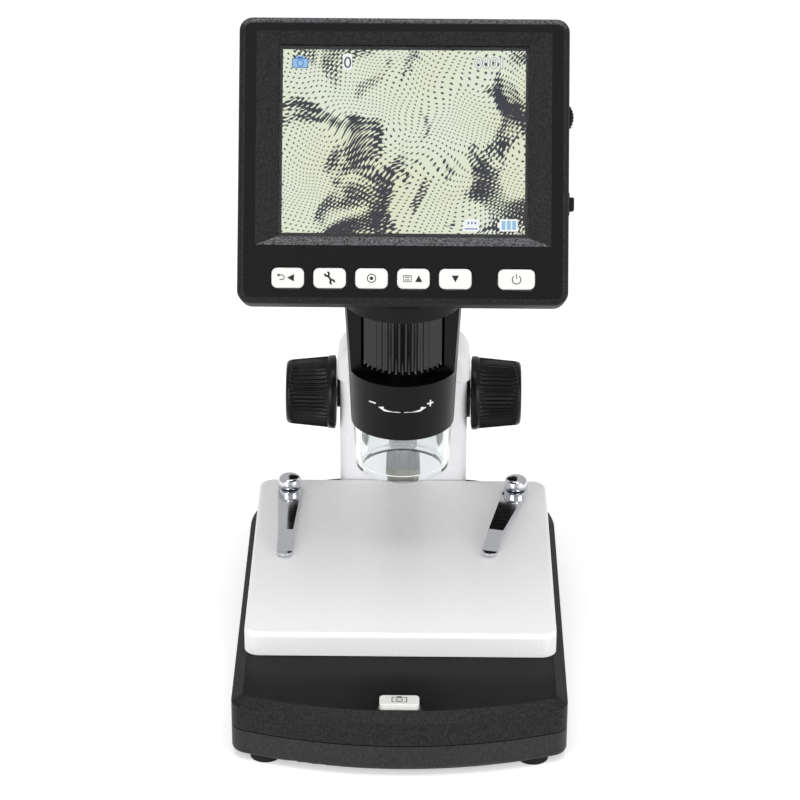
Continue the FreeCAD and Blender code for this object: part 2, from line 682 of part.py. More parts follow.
def drive_pieces():
    half = sizes["pinion_width"] / 2
    centre = ("shaft_depth", "shaft_height")
    gear = Part.Face(pinion_profile()).extrude(FreeCAD.Vector(2 * half, 0, 0))
    gear.translate(FreeCAD.Vector(-half, 0, 0))
    bore = Part.makeCylinder(sizes["shaft_radius"], 2 * half, FreeCAD.Vector(-half, 0, 0), FreeCAD.Vector(1, 0, 0))
    pinion = doc.addObject("Part::Feature", "pinion_gear")
    pinion.Shape = gear.cut(bore)
    put(pinion, y="shaft_depth", z="shaft_height")
    keep(pinion, "pinion")
    keep(round_bar("shaft_rod", "x", centre, ("3 - knob_outer", "knob_outer - 3"), "shaft_radius"), "focus_shaft")

    rack_half = sizes["rack_half"]
    outline = rack_profile(sizes["bar_bottom"], sizes["bar_top"] - 18.0)
    rack = doc.addObject("Part::Feature", "rack_strip")
    rack.Shape = Part.Face(outline).extrude(FreeCAD.Vector(2 * rack_half, 0, 0))
    put(rack, x="-rack_half")
    keep(rack, "rack")
    bar = box("bar_block", ("-bar_half", "bar_half"), ("bar_front", "bar_front + bar_steel"), ("bar_bottom", "bar_top"))
    keep(soften("bar_round", bar, "Fillet", 2.0,
                lambda edge: edge.BoundBox.YLength > 1 and edge.BoundBox.XLength < 1e-4), "slide_bar")


def knob(side, sign):
    """A tapered grip with fine lengthwise ribs, a plain flange inside and a rounded outer end."""
    body = doc.addObject("PartDesign::Body", f"{side}_knob_body")
    parts = [("flange", "knob_flange_radius", "knob_flange_radius - 0.3", "0", "knob_flange"),
             ("grip", "knob_base_radius", "knob_end_radius", "knob_flange", "knob_outer - knob_inner")]
    for name, near, far, low, high in parts:
        cone = body.newObject("PartDesign::AdditiveCone", f"{side}_{name}")
        bind(cone, "Radius1", near)
        bind(cone, "Radius2", far)
        bind(cone, "Height", f"({high}) - ({low})")
        bind(cone, "Placement.Base.z", low)
    doc.recompute()
    rounding = body.newObject("PartDesign::Fillet", f"{side}_knob_end")
    length = sizes["knob_outer"] - sizes["knob_inner"]
    rim = [f"Edge{i}" for i, e in enumerate(cone.Shape.Edges, start=1) if level(length)(e)]
    rounding.Base = (cone, rim)
    rounding.Radius = 1.3
    body.Tip = rounding
    hole = body.newObject("PartDesign::SubtractiveCylinder", f"{side}_knob_bore")
    bind(hole, "Radius", "shaft_radius")
    bind(hole, "Height", "knob_outer - knob_inner - 3")
    groove = body.newObject("PartDesign::SubtractiveBox", f"{side}_knob_groove")
    bind(groove, "Length", "knob_groove * 3")
    bind(groove, "Width", "knob_groove * 1.4")
    bind(groove, "Height", "knob_outer - knob_inner - knob_flange - 1.6")
    lean = math.degrees(math.atan((sizes["knob_base_radius"] - sizes["knob_end_radius"]) /
                                  (length - sizes["knob_flange"])))
    groove.Placement.Rotation = FreeCAD.Rotation(FreeCAD.Vector(0, 1, 0), -lean)
    bind(groove, "Placement.Base.x", "knob_base_radius - knob_groove")
    bind(groove, "Placement.Base.y", "-knob_groove * 0.7")
    bind(groove, "Placement.Base.z", "knob_flange + 0.2")
    doc.recompute()
    ring = body.newObject("PartDesign::PolarPattern", f"{side}_knob_ribs")
    ring.Originals = [groove]
    ring.Axis = (plane(body, "Z_Axis"), [""])
    ring.Angle = 360
    bind(ring, "Occurrences", "knob_ribs")
    body.Tip = ring
    body.Placement.Rotation = FreeCAD.Rotation(FreeCAD.Vector(0, 1, 0), 90 * sign)
    put(body, x=f"{sign} * knob_inner", y="shaft_depth", z="shaft_height")
    keep(body, f"{side}_focus_knob")


# Head: tapered housing with an open window in front of the knurled focus ring

def head_pieces():
    centre = ("0", "tube_depth")
    lamp_low = "band_bottom + lamp_board_height"
    barrel_low = f"{lamp_low} + barrel_bottom"
    band = round_bar("band_cone", "z", centre, ("band_bottom", "band_top"), "band_bottom_radius", "band_top_radius")
    neck = round_bar("neck_cone", "z", centre, ("band_top", "window_top"), "band_top_radius", "cover_radius")
    crown = round_bar("crown", "z", centre, ("window_top", "head_top"), "cover_radius")
    domed = soften("crown_round", crown, "Fillet", 5.0, level(sizes["head_top"]))
    solid = fuse("head_solid", band, neck, domed)
    window = box("head_window", ("-cover_radius - 5", "cover_radius + 5"),
                 ("tube_depth - cover_radius - 5", "tube_depth - window_depth"), ("band_top", "window_top"))
    ring_room = round_bar("ring_room", "z", centre, ("ring_bottom - gap", "ring_top + gap"), "ring_radius + 0.5")
    barrel_room = round_bar("barrel_room", "z", centre, (f"{lamp_low} + 0.7", "ring_bottom + 1"),
                            "barrel_radius + gap")
    lamp_room = round_bar("lamp_room", "z", centre, ("band_bottom - 1", f"{lamp_low} + board_thickness + 0.1"),
                          "shade_top_radius - shade_wall + fit_gap")
    eye_hole = round_bar("sensor_hole", "z", centre, ("ring_top", "ring_top + 2.4"), "ring_bore")
    chamber = round_bar("sensor_room", "z", centre, ("ring_top + 2.2", "head_top - 9"), "ring_radius - 1")
    envelope = tilt(box("display_envelope", ("-frame_half", "frame_half"), ("-5", "housing_thickness"),
                        ("frame_low - 0.05", "frame_high")))
    arm_seat = box("arm_seat", ("-arm_half - 1", "arm_half + 1"),
                   ("tube_depth + cover_radius - 3.4", "tube_depth + cover_radius + 2"), ("arm_bottom - 8", "head_top + 2"))
    keep(cut("head_cut", solid, window, ring_room, barrel_room, lamp_room, eye_hole, chamber, envelope, arm_seat),
         "head_housing")

    body = doc.addObject("PartDesign::Body", "ring_body")
    blank = body.newObject("PartDesign::AdditiveCylinder", "ring_blank")
    bind(blank, "Radius", "ring_radius")
    bind(blank, "Height", "ring_top - ring_bottom")
    hole = body.newObject("PartDesign::SubtractiveCylinder", "ring_hole")
    bind(hole, "Radius", "ring_bore")
    bind(hole, "Height", "ring_top - ring_bottom")
    groove = body.newObject("PartDesign::SubtractiveBox", "ring_knurl")
    bind(groove, "Length", "ring_groove * 3")
    bind(groove, "Width", "ring_radius * 3.14159 / ring_ribs")
    bind(groove, "Height", "ring_top - ring_bottom - 0.8")
    bind(groove, "Placement.Base.x", "ring_radius - ring_groove")
    bind(groove, "Placement.Base.y", "-ring_radius * 1.5708 / ring_ribs")
    bind(groove, "Placement.Base.z", "0.8")
    doc.recompute()
    knurl = body.newObject("PartDesign::PolarPattern", "ring_knurls")
    knurl.Originals = [groove]
    knurl.Axis = (plane(body, "Z_Axis"), [""])
    knurl.Angle = 360
    bind(knurl, "Occurrences", "ring_ribs")
    body.Tip = knurl
    put(body, y="tube_depth", z="ring_bottom")
    keep(body, "focus_ring")

    tube = round_bar("barrel_tube", "z", centre, (barrel_low, "barrel_top"), "barrel_radius")
    bore = round_bar("barrel_hole", "z", centre, (f"{barrel_low} - 1", "barrel_top + 1"), "barrel_bore")
    keep(cut("barrel_cut", tube, bore), "lens_barrel")
    lenses = [round_bar(f"lens_{i}", "z", centre, (low, f"{low} + lens_thickness"), "barrel_bore")
              for i, low in enumerate((f"{barrel_low} + 0.6", f"{barrel_low} + 9", "barrel_top - 6"))]
    keep(group("lenses", lenses), "lens_elements")
    chip_low = "ring_top + 1.3"
    chip = box("sensor_chip", ("-4", "4"), ("tube_depth - 4", "tube_depth + 4"), (chip_low, "ring_top + 2.4"))
    board = box("sensor_plate", ("-10", "10"), ("tube_depth - 6", "tube_depth + 6"),
                ("ring_top + 2.3", "ring_top + 2.3 + board_thickness"))
    keep(fuse("sensor_body", chip, board), "sensor_board")
    disc = round_bar("lamp_disc", "z", centre, (lamp_low, f"{lamp_low} + board_thickness"), "lamp_board_radius")
    eye = round_bar("lamp_eye", "z", centre, (f"{lamp_low} - 1", f"{lamp_low} + 3"), "lamp_board_bore")
    keep(cut("lamp_board_cut", disc, eye), "led_board")
    lamps = []
    for i in range(int(sizes["lamp_count"])):
        angle = 360 / sizes["lamp_count"] * (i + 0.5)
        lamp = round_bar(f"lamp_{i}", "z", (f"lamp_circle * cos({angle} deg)", f"tube_depth + lamp_circle * sin({angle} deg)"),
                         (f"{lamp_low} - 1.6", lamp_low), "lamp_radius")
        lamps.append(lamp)
    keep(group("lamps", lamps), "leds")

    spigot = "shade_top_radius - shade_wall"
    wall = round_bar("shade_cone", "z", centre, ("shade_bottom", "band_bottom - 0.05"), "shade_bottom_radius", "shade_top_radius")
    edge = soften("shade_round", wall, "Fillet", 0.9, level(sizes["shade_bottom"]))
    collar = round_bar("shade_spigot", "z", centre, ("band_bottom - 1", f"{lamp_low} - 2"), spigot)
    room = round_bar("shade_hollow", "z", centre, ("shade_bottom + shade_flange", f"{lamp_low} + 1.7"),
                     "shade_bottom_radius - shade_wall")
    mouth = round_bar("shade_mouth", "z", centre, ("shade_bottom - 1", "shade_bottom + 3"), "shade_opening")
    keep(cut("shade_cut", fuse("shade_solid", edge, collar), room, mouth), "clear_shade")


def arm_pieces():
    """The arm behind the head, and the web that passes through the column's slot to the slide bar."""
    front = "tube_depth + cover_radius - 3.3"
    block = box("arm_block", ("-arm_half", "arm_half"), (front, "arm_back"), ("arm_bottom", "arm_top"))
    along = lambda edge: edge.BoundBox.YLength > 10 and edge.BoundBox.XLength < 1e-4
    rounded = soften("arm_round", block, "Fillet", 4.0, along)
    web = box("arm_web", ("-web_half", "web_half"), ("arm_back - 2", "bar_front"), ("web_bottom", "bar_top"))
    keep(fuse("arm_solid", rounded, web), "focus_arm")
    keep(round_bar("arm_screw", "y", ("0", "bar_top - 4"),
                   ("bar_front + bar_steel", "bar_front + bar_steel + 1.4"), "screw_head"), "bar_screw")


# Display: bezel with a bevelled recess, rear shell, glass, panel, boards and keys

def key_places():
    places = [(f"key_first + {i} * key_pitch", "key_width") for i in range(5)]
    return places + [("power_place", "power_width")]


def display_pieces():
    body = doc.addObject("PartDesign::Body", "bezel_body")
    tall = "frame_high - frame_low"
    middle = "(frame_high + frame_low) / 2"
    outline = rounded_sketch(body, "bezel_outline", "XZ_Plane", "2 * frame_half", tall, "frame_corner",
                             ("0", middle), "0")
    pad(body, outline, "frame_thickness", reverse=True)
    inner = rounded_sketch(body, "bezel_hollow", "XZ_Plane", "2 * frame_half - 2 * housing_wall",
                           f"{tall} - 2 * housing_wall", "frame_corner - 1.5", ("0", middle), "-recess_depth - 0.8")
    doc.recompute()
    hollow = pocket(body, inner, "frame_thickness")
    doc.recompute()
    edge = body.newObject("PartDesign::Fillet", "bezel_soft_edge")
    rim = [f"Edge{i}" for i, e in enumerate(hollow.Shape.Edges, start=1)
           if abs(e.BoundBox.YMax) < 1e-4 and e.BoundBox.YLength < 1e-4]
    edge.Base = (hollow, rim)
    bind(edge, "Radius", "frame_edge")
    body.Tip = edge
    frustum = doc.addObject("Part::Wedge", "recess_frustum")
    for prop, formula in (("Xmin", "-recess_half"), ("Xmax", "recess_half"), ("Zmin", "recess_low"), ("Zmax", "recess_high"),
                          ("Ymin", "-0.01"), ("Ymax", "recess_depth"), ("X2min", "-screen_half_width"),
                          ("X2max", "screen_half_width"), ("Z2min", "-screen_half_height"),
                          ("Z2max", "screen_half_height")):
        bind(frustum, prop, formula)
    opening = box("screen_opening", ("-screen_half_width", "screen_half_width"), ("recess_depth - 0.5", "recess_depth + 5"),
                  ("-screen_half_height", "screen_half_height"))
    holes = []
    for i, (x, wide) in enumerate(key_places()):
        hole = box(f"key_hole_{i}", (f"{x} - {wide} / 2 - key_gap", f"{x} + {wide} / 2 + key_gap"), ("-1", "6"),
                   ("key_row - key_height / 2 - key_gap", "key_row + key_height / 2 + key_gap"))
        holes.append(soften(f"key_hole_round_{i}", hole, "Fillet", sizes["key_corner"] + sizes["key_gap"],
                            lambda e: e.BoundBox.YLength > 1))
    keep(tilt(cut("bezel_cut", body, frustum, opening, *holes)), "display_bezel")

    shell = doc.addObject("PartDesign::Body", "rear_body")
    back = rounded_sketch(shell, "rear_outline", "XZ_Plane", "2 * frame_half", tall, "frame_corner", ("0", middle),
                          "-frame_thickness - gap")
    pad(shell, back, "housing_thickness - frame_thickness - gap", reverse=True)
    inside = rounded_sketch(shell, "rear_hollow", "XZ_Plane", "2 * frame_half - 2 * housing_wall",
                            f"{tall} - 2 * housing_wall", "frame_corner - 1.5", ("0", middle), "-frame_thickness - gap")
    doc.recompute()
    room = pocket(shell, inside, "housing_thickness - frame_thickness - gap - housing_wall")
    doc.recompute()
    soft = shell.newObject("PartDesign::Fillet", "rear_soft_edge")
    rim = [f"Edge{i}" for i, e in enumerate(room.Shape.Edges, start=1)
           if abs(e.BoundBox.YMin - sizes["housing_thickness"]) < 1e-4 and e.BoundBox.YLength < 1e-4]
    soft.Base = (room, rim)
    bind(soft, "Radius", "housing_edge")
    shell.Tip = soft
    dial_slot = box("dial_slot", ("frame_half - housing_wall - 1", "frame_half + 1"), ("dial_front - gap", "dial_front + dial_thickness + gap"),
                    ("dial_place - dial_radius", "dial_place + dial_radius"))
    side_hole = box("side_hole", ("frame_half - housing_wall - 1", "frame_half + 1"),
                    ("side_front - key_gap", "side_front + side_depth + key_gap"),
                    ("side_place - side_height / 2 - key_gap", "side_place + side_height / 2 + key_gap"))
    usb_hole = box("usb_hole", ("-frame_half - 1", "-frame_half + housing_wall + 1"), ("10.5", "13.9"), ("2", "10.2"))
    card_hole = box("card_hole", ("-frame_half - 1", "-frame_half + housing_wall + 1"), ("10.8", "13.2"), ("-20", "-7"))
    keep(tilt(cut("rear_cut", shell, dial_slot, side_hole, usb_hole, card_hole)), "display_rear_shell")

    glass_front = "recess_depth + 0.8"
    keep(tilt(box("glass", ("-screen_half_width - window_lip", "screen_half_width + window_lip"),
                  (glass_front, glass_front + " + window_glass"),
                  ("-screen_half_height - window_lip", "screen_half_height + window_lip"))), "screen_window")
    lcd_front = glass_front + " + window_glass + window_air"
    lcd_back = lcd_front + " + lcd_thickness"
    keep(tilt(box("panel", ("-lcd_half_width", "lcd_half_width"), (lcd_front, lcd_back), ("lcd_low", "lcd_high"))),
         "lcd_panel")
    board_front = lcd_back
    keep(tilt(box("main_plate", ("-board_half_width", "board_half_width"),
                  (board_front, board_front + " + board_thickness"), ("main_board_low", "main_board_high"))), "main_board")
    battery_front = board_front + " + board_thickness"
    battery = box("battery_block", ("-battery_half", "battery_half"), (battery_front, battery_front + " + battery_thickness"),
                  ("battery_low", "battery_high"))
    keep(tilt(soften("battery_round", battery, "Fillet", 1.5, upright)), "battery")


def key_pieces():
    names = ("back_key", "settings_key", "enter_key", "mode_key", "down_key", "power_key")
    for name, (x, wide) in zip(names, key_places()):
        cap = box(f"{name}_block", (f"{x} - {wide} / 2", f"{x} + {wide} / 2"), ("-key_rise", "recess_depth + 0.8 + key_skirt"),
                  ("key_row - key_height / 2", "key_row + key_height / 2"))
        cornered = soften(f"{name}_corner", cap, "Fillet", sizes["key_corner"], lambda e: e.BoundBox.YLength > 1)
        front = soften(f"{name}_face", cornered, "Fillet", 0.35,
                       lambda e: abs(e.BoundBox.YMax + sizes["key_rise"]) < 1e-4 and e.BoundBox.YLength < 1e-4)
        skirt = box(f"{name}_skirt", (f"{x} - {wide} / 2 - 0.8", f"{x} + {wide} / 2 + 0.8"),
                    ("recess_depth + 0.8 + gap", "recess_depth + 0.8 + gap + key_skirt"),
                    ("key_row - key_height / 2 - 0.8", "key_row + key_height / 2 + 0.8"))
        keep(tilt(fuse(f"{name}_body", front, skirt)), name)
    pad_front = "recess_depth + 0.8 + gap + key_skirt + key_travel + 0.1"
    board = box("key_plate", ("key_first - 6", "power_place + 7"), (pad_front, pad_front + " + board_thickness"),
                ("key_row - 4.9", "key_row + 5.8"))
    keep(tilt(board), "key_board")


def side_pieces():
    centre = ("frame_half + dial_rise - dial_radius", "dial_place")
    wheel = round_bar("dial_wheel", "y", centre, ("dial_front", "dial_front + dial_thickness"), "dial_radius")
    rimmed = soften("dial_rim", wheel, "Chamfer", 0.4, lambda e: e.BoundBox.YLength < 1e-4)
    bore = round_bar("dial_bore", "y", centre, ("dial_front - 1", "dial_front + dial_thickness + 1"), "1.25")
    keep(tilt(cut("dial_cut", rimmed, bore)), "brightness_wheel")
    pin = round_bar("dial_pin", "y", centre, ("dial_front - 1", "dial_front + dial_thickness + 0.8"), "1.2")
    seat = round_bar("dial_seat", "y", centre, ("dial_front + dial_thickness + 0.3", "housing_thickness - housing_wall"), "2")
    keep(tilt(fuse("dial_stud", pin, seat)), "wheel_stud")
    inner = "frame_half - housing_wall"
    cap = box("side_cap", (inner + " - 1.4", "frame_half + side_rise"), ("side_front", "side_front + side_depth"),
              ("side_place - side_height / 2", "side_place + side_height / 2"))
    softened = soften("side_soft", cap, "Fillet", 0.5, lambda e: e.BoundBox.XLength < 1e-4 and
                      abs(e.BoundBox.XMax - sizes["frame_half"] - sizes["side_rise"]) < 1e-4)
    flange = box("side_flange", (inner + " - 1.4", inner + " - gap"), ("side_front - 0.8", "side_front + side_depth + 0.8"),
                 ("side_place - side_height / 2 - 0.8", "side_place + side_height / 2 + 0.8"))
    keep(tilt(fuse("side_body", softened, flange)), "side_button")
    ring = box("collar_block", ("frame_half + 0.02", "frame_half + 0.5"), ("side_front - 1.2", "side_front + side_depth + 1.2"),
               ("side_place - side_height / 2 - 1.2", "side_place + side_height / 2 + 1.2"))
    hole = box("collar_hole", ("frame_half - 1", "frame_half + 1"), ("side_front - key_gap", "side_front + side_depth + key_gap"),
               ("side_place - side_height / 2 - key_gap", "side_place + side_height / 2 + key_gap"))
    keep(tilt(cut("collar_cut", ring, hole)), "side_button_collar")
    press = inner + " - 1.4 - side_travel - 0.1"
    switch = box("side_switch_block", (press + " - 3.4", press), ("side_front - 0.4", "side_front + side_depth + 0.4"),
                 ("side_place - 3", "side_place + 3"))
    bracket = box("side_foot", (press + " - 3.4", press), ("side_front + side_depth", "housing_thickness - housing_wall"),
                  ("side_place - 2", "side_place + 2"))
    keep(tilt(fuse("side_switch_body", switch, bracket)), "side_switch")
    wall_in = "-frame_half + housing_wall"
    usb = box("usb_block", ("-frame_half + 0.4", wall_in + " + 5"), ("10.7", "13.7"), ("2.2", "10"))
    usb_mouth = box("usb_mouth", ("-frame_half", wall_in + " + 3"), ("11.2", "13.2"), ("2.8", "9.4"))
    usb_leg = box("usb_leg", (wall_in + " + 1", wall_in + " + 5"), ("13.6", "housing_thickness - housing_wall"), ("3", "9"))
    keep(tilt(cut("usb_cut", fuse("usb_solid", usb, usb_leg), usb_mouth)), "usb_socket")
    card = box("card_block", (wall_in + " + 0.2", wall_in + " + 14"), ("10.9", "13.1"), ("-21", "-6"))
    card_mouth = box("card_mouth", (wall_in, wall_in + " + 12"), ("11.3", "12.7"), ("-19.5", "-7.5"))
    card_leg = box("card_leg", (wall_in + " + 3", wall_in + " + 13"), ("13", "housing_thickness - housing_wall"), ("-20", "-16"))
    keep(tilt(cut("card_cut", fuse("card_solid", card, card_leg), card_mouth)), "card_socket")


base_pieces()
snap_pieces()
stage_pieces()
column_pieces()
bush_pieces()
drive_pieces()
knob("left", -1)
knob("right", 1)
head_pieces()
arm_pieces()
display_pieces()
key_pieces()
side_pieces()
doc.recompute()

faults = [f"{item.Name} {item.State}" for item in doc.Objects
          if any(word in ("Invalid", "Error") for word in item.State)]
for item in nodes:
    shape = item.Shape
    if shape.isNull() or not shape.isValid() or not shape.Solids:
        faults.append(f"{item.Label} has no valid solid")
if faults:
    raise RuntimeError("; ".join(faults))

os.makedirs("parts", exist_ok=True)
for item in nodes:
    item.Shape.exportStep(f"parts/{item.Label}.step")
    print(item.Label, len(item.Shape.Solids), round(item.Shape.Volume, 2))
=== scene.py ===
import math

import bmesh
import bpy
from mathutils import Matrix, Vector


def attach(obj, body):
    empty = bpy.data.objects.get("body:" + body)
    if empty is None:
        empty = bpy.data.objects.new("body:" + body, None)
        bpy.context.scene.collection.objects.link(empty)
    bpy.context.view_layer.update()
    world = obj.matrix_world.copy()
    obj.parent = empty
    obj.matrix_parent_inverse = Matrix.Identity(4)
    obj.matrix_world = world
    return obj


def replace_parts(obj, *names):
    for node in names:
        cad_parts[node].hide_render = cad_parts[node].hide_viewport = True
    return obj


# Digital microscope with a tilted colour display, dressed over its solids.
# The scene is in metres. The places and profiles below are in millimetres, and mm turns them into metres.

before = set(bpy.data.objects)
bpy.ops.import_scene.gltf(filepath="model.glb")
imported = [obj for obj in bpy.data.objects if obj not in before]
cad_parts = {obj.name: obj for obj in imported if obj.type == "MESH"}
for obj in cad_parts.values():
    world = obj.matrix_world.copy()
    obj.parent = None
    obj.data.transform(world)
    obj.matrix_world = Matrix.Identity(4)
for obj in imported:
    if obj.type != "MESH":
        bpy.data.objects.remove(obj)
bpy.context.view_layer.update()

LEAN = math.radians(28.3)      # the display leans back from upright
DISPLAY = (-0.5, 165.1)        # depth and height of the middle of the display's face
TUBE_Y = 10.0                  # depth of the lens axis
BAND = (72.1, 17.9)            # bottom and height of the head's lower band
BAND_RADII = (15.4, 0.8)       # its radius at the bottom, and how much that grows to the top
MARKS = (81.5, 16.0)           # the painted marks on the band: height, and radius of their widths
SHAFT = (65.0, 53.7)           # depth and height of the knobs' axis
KNOB_INNER = 21.5              # the knobs start this far from the middle
KEY_ROW = -39.4                # height of the row of keys on the display's face
KEY_FACE = -0.9                # the keys stand this far in front of the face
KEYS = (-32.5, 11.85)          # middle of the first key, and from each of the five to the next
POWER_KEY = 32.2               # middle of the power key, which stands apart
SNAP_TOP = (-68.7, 21.7)       # depth and height of the middle of the snap button's top
PANEL_FRONT = 3.84             # the lit panel's front lies this far behind the face
PICTURE_HALF = (34.6, 26.2)    # half the width and height of the lit picture
WHEEL_FRONT = (42.9, 8.2, 7.9)  # front of the brightness wheel: across, behind and up the display's face
POST_PLACE = (35.8, 44.8)      # the clip posts: from the middle, and depth
DECK = 20.0                    # height of the base's deck
LAMP_FEET = 75.15              # height of the middle of the lamps' feet
LAMPS = 8
SCREW_ROWS = (-54.4, 44.0)     # depths of the two rows of case screws
SCREWS = (36.25, 2.37)         # the case screws: from the middle, and height of their recesses
SIDES = (("left", -1), ("right", 1))
COLOURS, NUMBERS = {"data_type": "RGBA"}, {"data_type": "FLOAT"}
BLACK, WHITE = (0.0, 0.0, 0.0, 1.0), (1.0, 1.0, 1.0, 1.0)
PHOTO_PIXELS = 800             # width of the photograph that the camera was fitted to


def mm(x, y, z):
    return Vector((x, y, z)) / 1000


def on_display(x, depth, up):
    """A point of the display: across, into the housing and up its face."""
    return mm(x, DISPLAY[0] + up * math.sin(LEAN) + depth * math.cos(LEAN),
              DISPLAY[1] + up * math.cos(LEAN) - depth * math.sin(LEAN))


def on_band(across, up, out):
    """A point on the head's lower band, which is a slightly opening cone."""
    height = MARKS[0] + up
    radius = BAND_RADII[0] + (height - BAND[0]) / BAND[1] * BAND_RADII[1] + out
    angle = across / MARKS[1]
    return mm(radius * math.sin(angle), TUBE_Y - radius * math.cos(angle), height)


# Materials

def linear(code):
    """The linear colour of a hex code."""
    parts = [int(code[i:i + 2], 16) / 255 for i in (1, 3, 5)]
    return tuple(c / 12.92 if c < 0.04045 else ((c + 0.055) / 1.055) ** 2.4 for c in parts) + (1.0,)


def feed(tree, node, feeds):
    """Feeds a node's sockets with values or other nodes: by name or number, or a tuple in their order."""
    for key, value in (feeds.items() if isinstance(feeds, dict) else enumerate(feeds)):
        if isinstance(value, bpy.types.Node):
            value = next(out for out in value.outputs if out.enabled)
        if isinstance(value, bpy.types.NodeSocket):
            tree.links.new(value, node.inputs[key])
        else:
            node.inputs[key].default_value = value


def add(tree, kind, settings=None, feeds=()):
    """Adds a node with its settings and links."""
    node = tree.nodes.new(kind)
    for key, value in (settings or {}).items():
        setattr(node, key, value)
    feed(tree, node, feeds)
    return node


def surface(name, feeds):
    """A new material with one Principled surface, its tree, that shader and its Object coordinates."""
    material = bpy.data.materials.new(name)
    material.use_nodes = True
    tree = material.node_tree
    tree.nodes.clear()
    shader = add(tree, "ShaderNodeBsdfPrincipled", None, feeds)
    add(tree, "ShaderNodeOutputMaterial", None, {"Surface": shader})
    spot = add(tree, "ShaderNodeTexCoord").outputs["Object"]
    return material, tree, shader, spot


def eroded_grain(tree, spot, grain):
    """The grain of a spark-eroded tool, as a height and as a tone from its pits to its crests.

    The real grain is 0.1 to 0.2 mm wide, too fine to show, so it is drawn several times as coarse.
    """
    height = add(tree, "ShaderNodeTexNoise", None, {
        "Vector": spot, "Scale": 1000 / grain, "Detail": 3.0, "Roughness": 0.65})
    tone = add(tree, "ShaderNodeMapRange", None, {"Value": height, "From Min": 0.36, "From Max": 0.66})
    return height, tone


def moulded(name, dark, light, roughness, grain, depth, shine=0.5, patch=0.05):
    """Moulded plastic. The spark-eroded tool leaves a grain that splits highlights into specks.

    Grain and depth are in mm. Handling leaves patches 22 mm wide that shine a little more or less.
    """
    material, tree, shader, spot = surface(name, {"IOR": 1.54, "Specular IOR Level": shine})
    height, tone = eroded_grain(tree, spot, grain)
    handled = add(tree, "ShaderNodeTexNoise", None, {"Vector": spot, "Scale": 1000 / 22, "Detail": 2.0})
    colour = add(tree, "ShaderNodeMix", COLOURS, {0: tone, 6: linear(dark), 7: linear(light)})
    sheen = add(tree, "ShaderNodeMapRange", None, {
        "Value": handled, "From Min": 0.3, "From Max": 0.7,
        "To Min": roughness - patch, "To Max": roughness + patch})
    bump = add(tree, "ShaderNodeBump", None, {"Height": height, "Distance": depth / 1000})
    feed(tree, shader, {"Base Color": colour, "Roughness": sheen, "Normal": bump})
    return material


def deck_and_walls():
    """One moulding of black ABS: a fine satin deck inside a grained chamfer and walls."""
    material, tree, shader, spot = surface("base_top_abs", {"IOR": 1.54, "Specular IOR Level": 0.14})
    parts = add(tree, "ShaderNodeSeparateXYZ", None, {"Vector": spot})
    edge = (DECK - 0.05) / 1000
    deck = add(tree, "ShaderNodeMath", {"operation": "GREATER_THAN"}, (parts.outputs["Z"], edge))
    height, tone = eroded_grain(tree, spot, 0.7)
    wall = add(tree, "ShaderNodeMix", COLOURS, {0: tone, 6: linear("#101011"), 7: linear("#28282a")})
    colour = add(tree, "ShaderNodeMix", COLOURS, {0: deck, 6: wall, 7: linear("#020203")})
    sheen = add(tree, "ShaderNodeMix", NUMBERS, {0: deck, 2: 0.5, 3: 0.3})
    rise = add(tree, "ShaderNodeMix", NUMBERS, {0: deck, 2: height, 3: 0.5})
    bump = add(tree, "ShaderNodeBump", None, {"Height": rise, "Distance": 0.00005})
    feed(tree, shader, {"Base Color": colour, "Roughness": sheen, "Normal": bump})
    return material


def bezel_finish():
    """The display's front moulding in black ABS: a satin face, and grained bevels with painted light on them.

    The bevels and rounded edges are told from the face by their normals, and those that look up get the most
    painted light.
    """
    material, tree, shader, spot = surface("bezel_abs", {"IOR": 1.54, "Specular IOR Level": 0.16})
    normal = add(tree, "ShaderNodeNewGeometry").outputs["True Normal"]
    facing = add(tree, "ShaderNodeVectorMath", {"operation": "DOT_PRODUCT"}, (
        normal, (0.0, -math.cos(LEAN), math.sin(LEAN))))
    bevelled = add(tree, "ShaderNodeMath", {"operation": "LESS_THAN"}, (facing.outputs["Value"], 0.985))
    skyward = add(tree, "ShaderNodeSeparateXYZ", None, {"Vector": normal}).outputs["Z"]
    height, tone = eroded_grain(tree, spot, 0.6)
    # Painted light: bevels that face up are mixed from dark grain towards a pale grey, as if lit from above
    upward_painted_light = add(tree, "ShaderNodeMapRange", None, {"Value": skyward, "From Min": 0.45, "From Max": 0.95})
    crest = add(tree, "ShaderNodeMix", COLOURS, {0: upward_painted_light, 6: linear("#242427"), 7: linear("#77777b")})
    bevel = add(tree, "ShaderNodeMix", COLOURS, {0: tone, 6: linear("#0b0b0c"), 7: crest})
    colour = add(tree, "ShaderNodeMix", COLOURS, {0: bevelled, 6: linear("#070708"), 7: bevel})
    sheen = add(tree, "ShaderNodeMix", NUMBERS, {0: bevelled, 2: 0.42, 3: 0.55})
    bump = add(tree, "ShaderNodeBump", None, {"Height": height, "Distance": 0.00002})
    feed(tree, shader, {"Base Color": colour, "Roughness": sheen, "Normal": bump})
    return material


def metal(name, code, roughness, stretch, depth):
    """Metal. Stretch counts its marks in a metre along each axis, so they run along the one with the fewest.

    The real marks are finer than the picture can show, so they are drawn coarser.
    """
    material, tree, shader, spot = surface(name, {"Base Color": linear(code), "Metallic": 1.0})
    lines = add(tree, "ShaderNodeMapping", None, {"Vector": spot, "Scale": stretch})
    marks = add(tree, "ShaderNodeTexNoise", None, {"Vector": lines, "Scale": 1.0, "Detail": 4.0})
    sheen = add(tree, "ShaderNodeMapRange", None, {
        "Value": marks, "From Min": 0.3, "From Max": 0.7,
        "To Min": roughness * 0.7, "To Max": roughness * 1.4})
    bump = add(tree, "ShaderNodeBump", None, {"Height": marks, "Distance": depth / 1000})
    feed(tree, shader, {"Roughness": sheen, "Normal": bump})
    return material


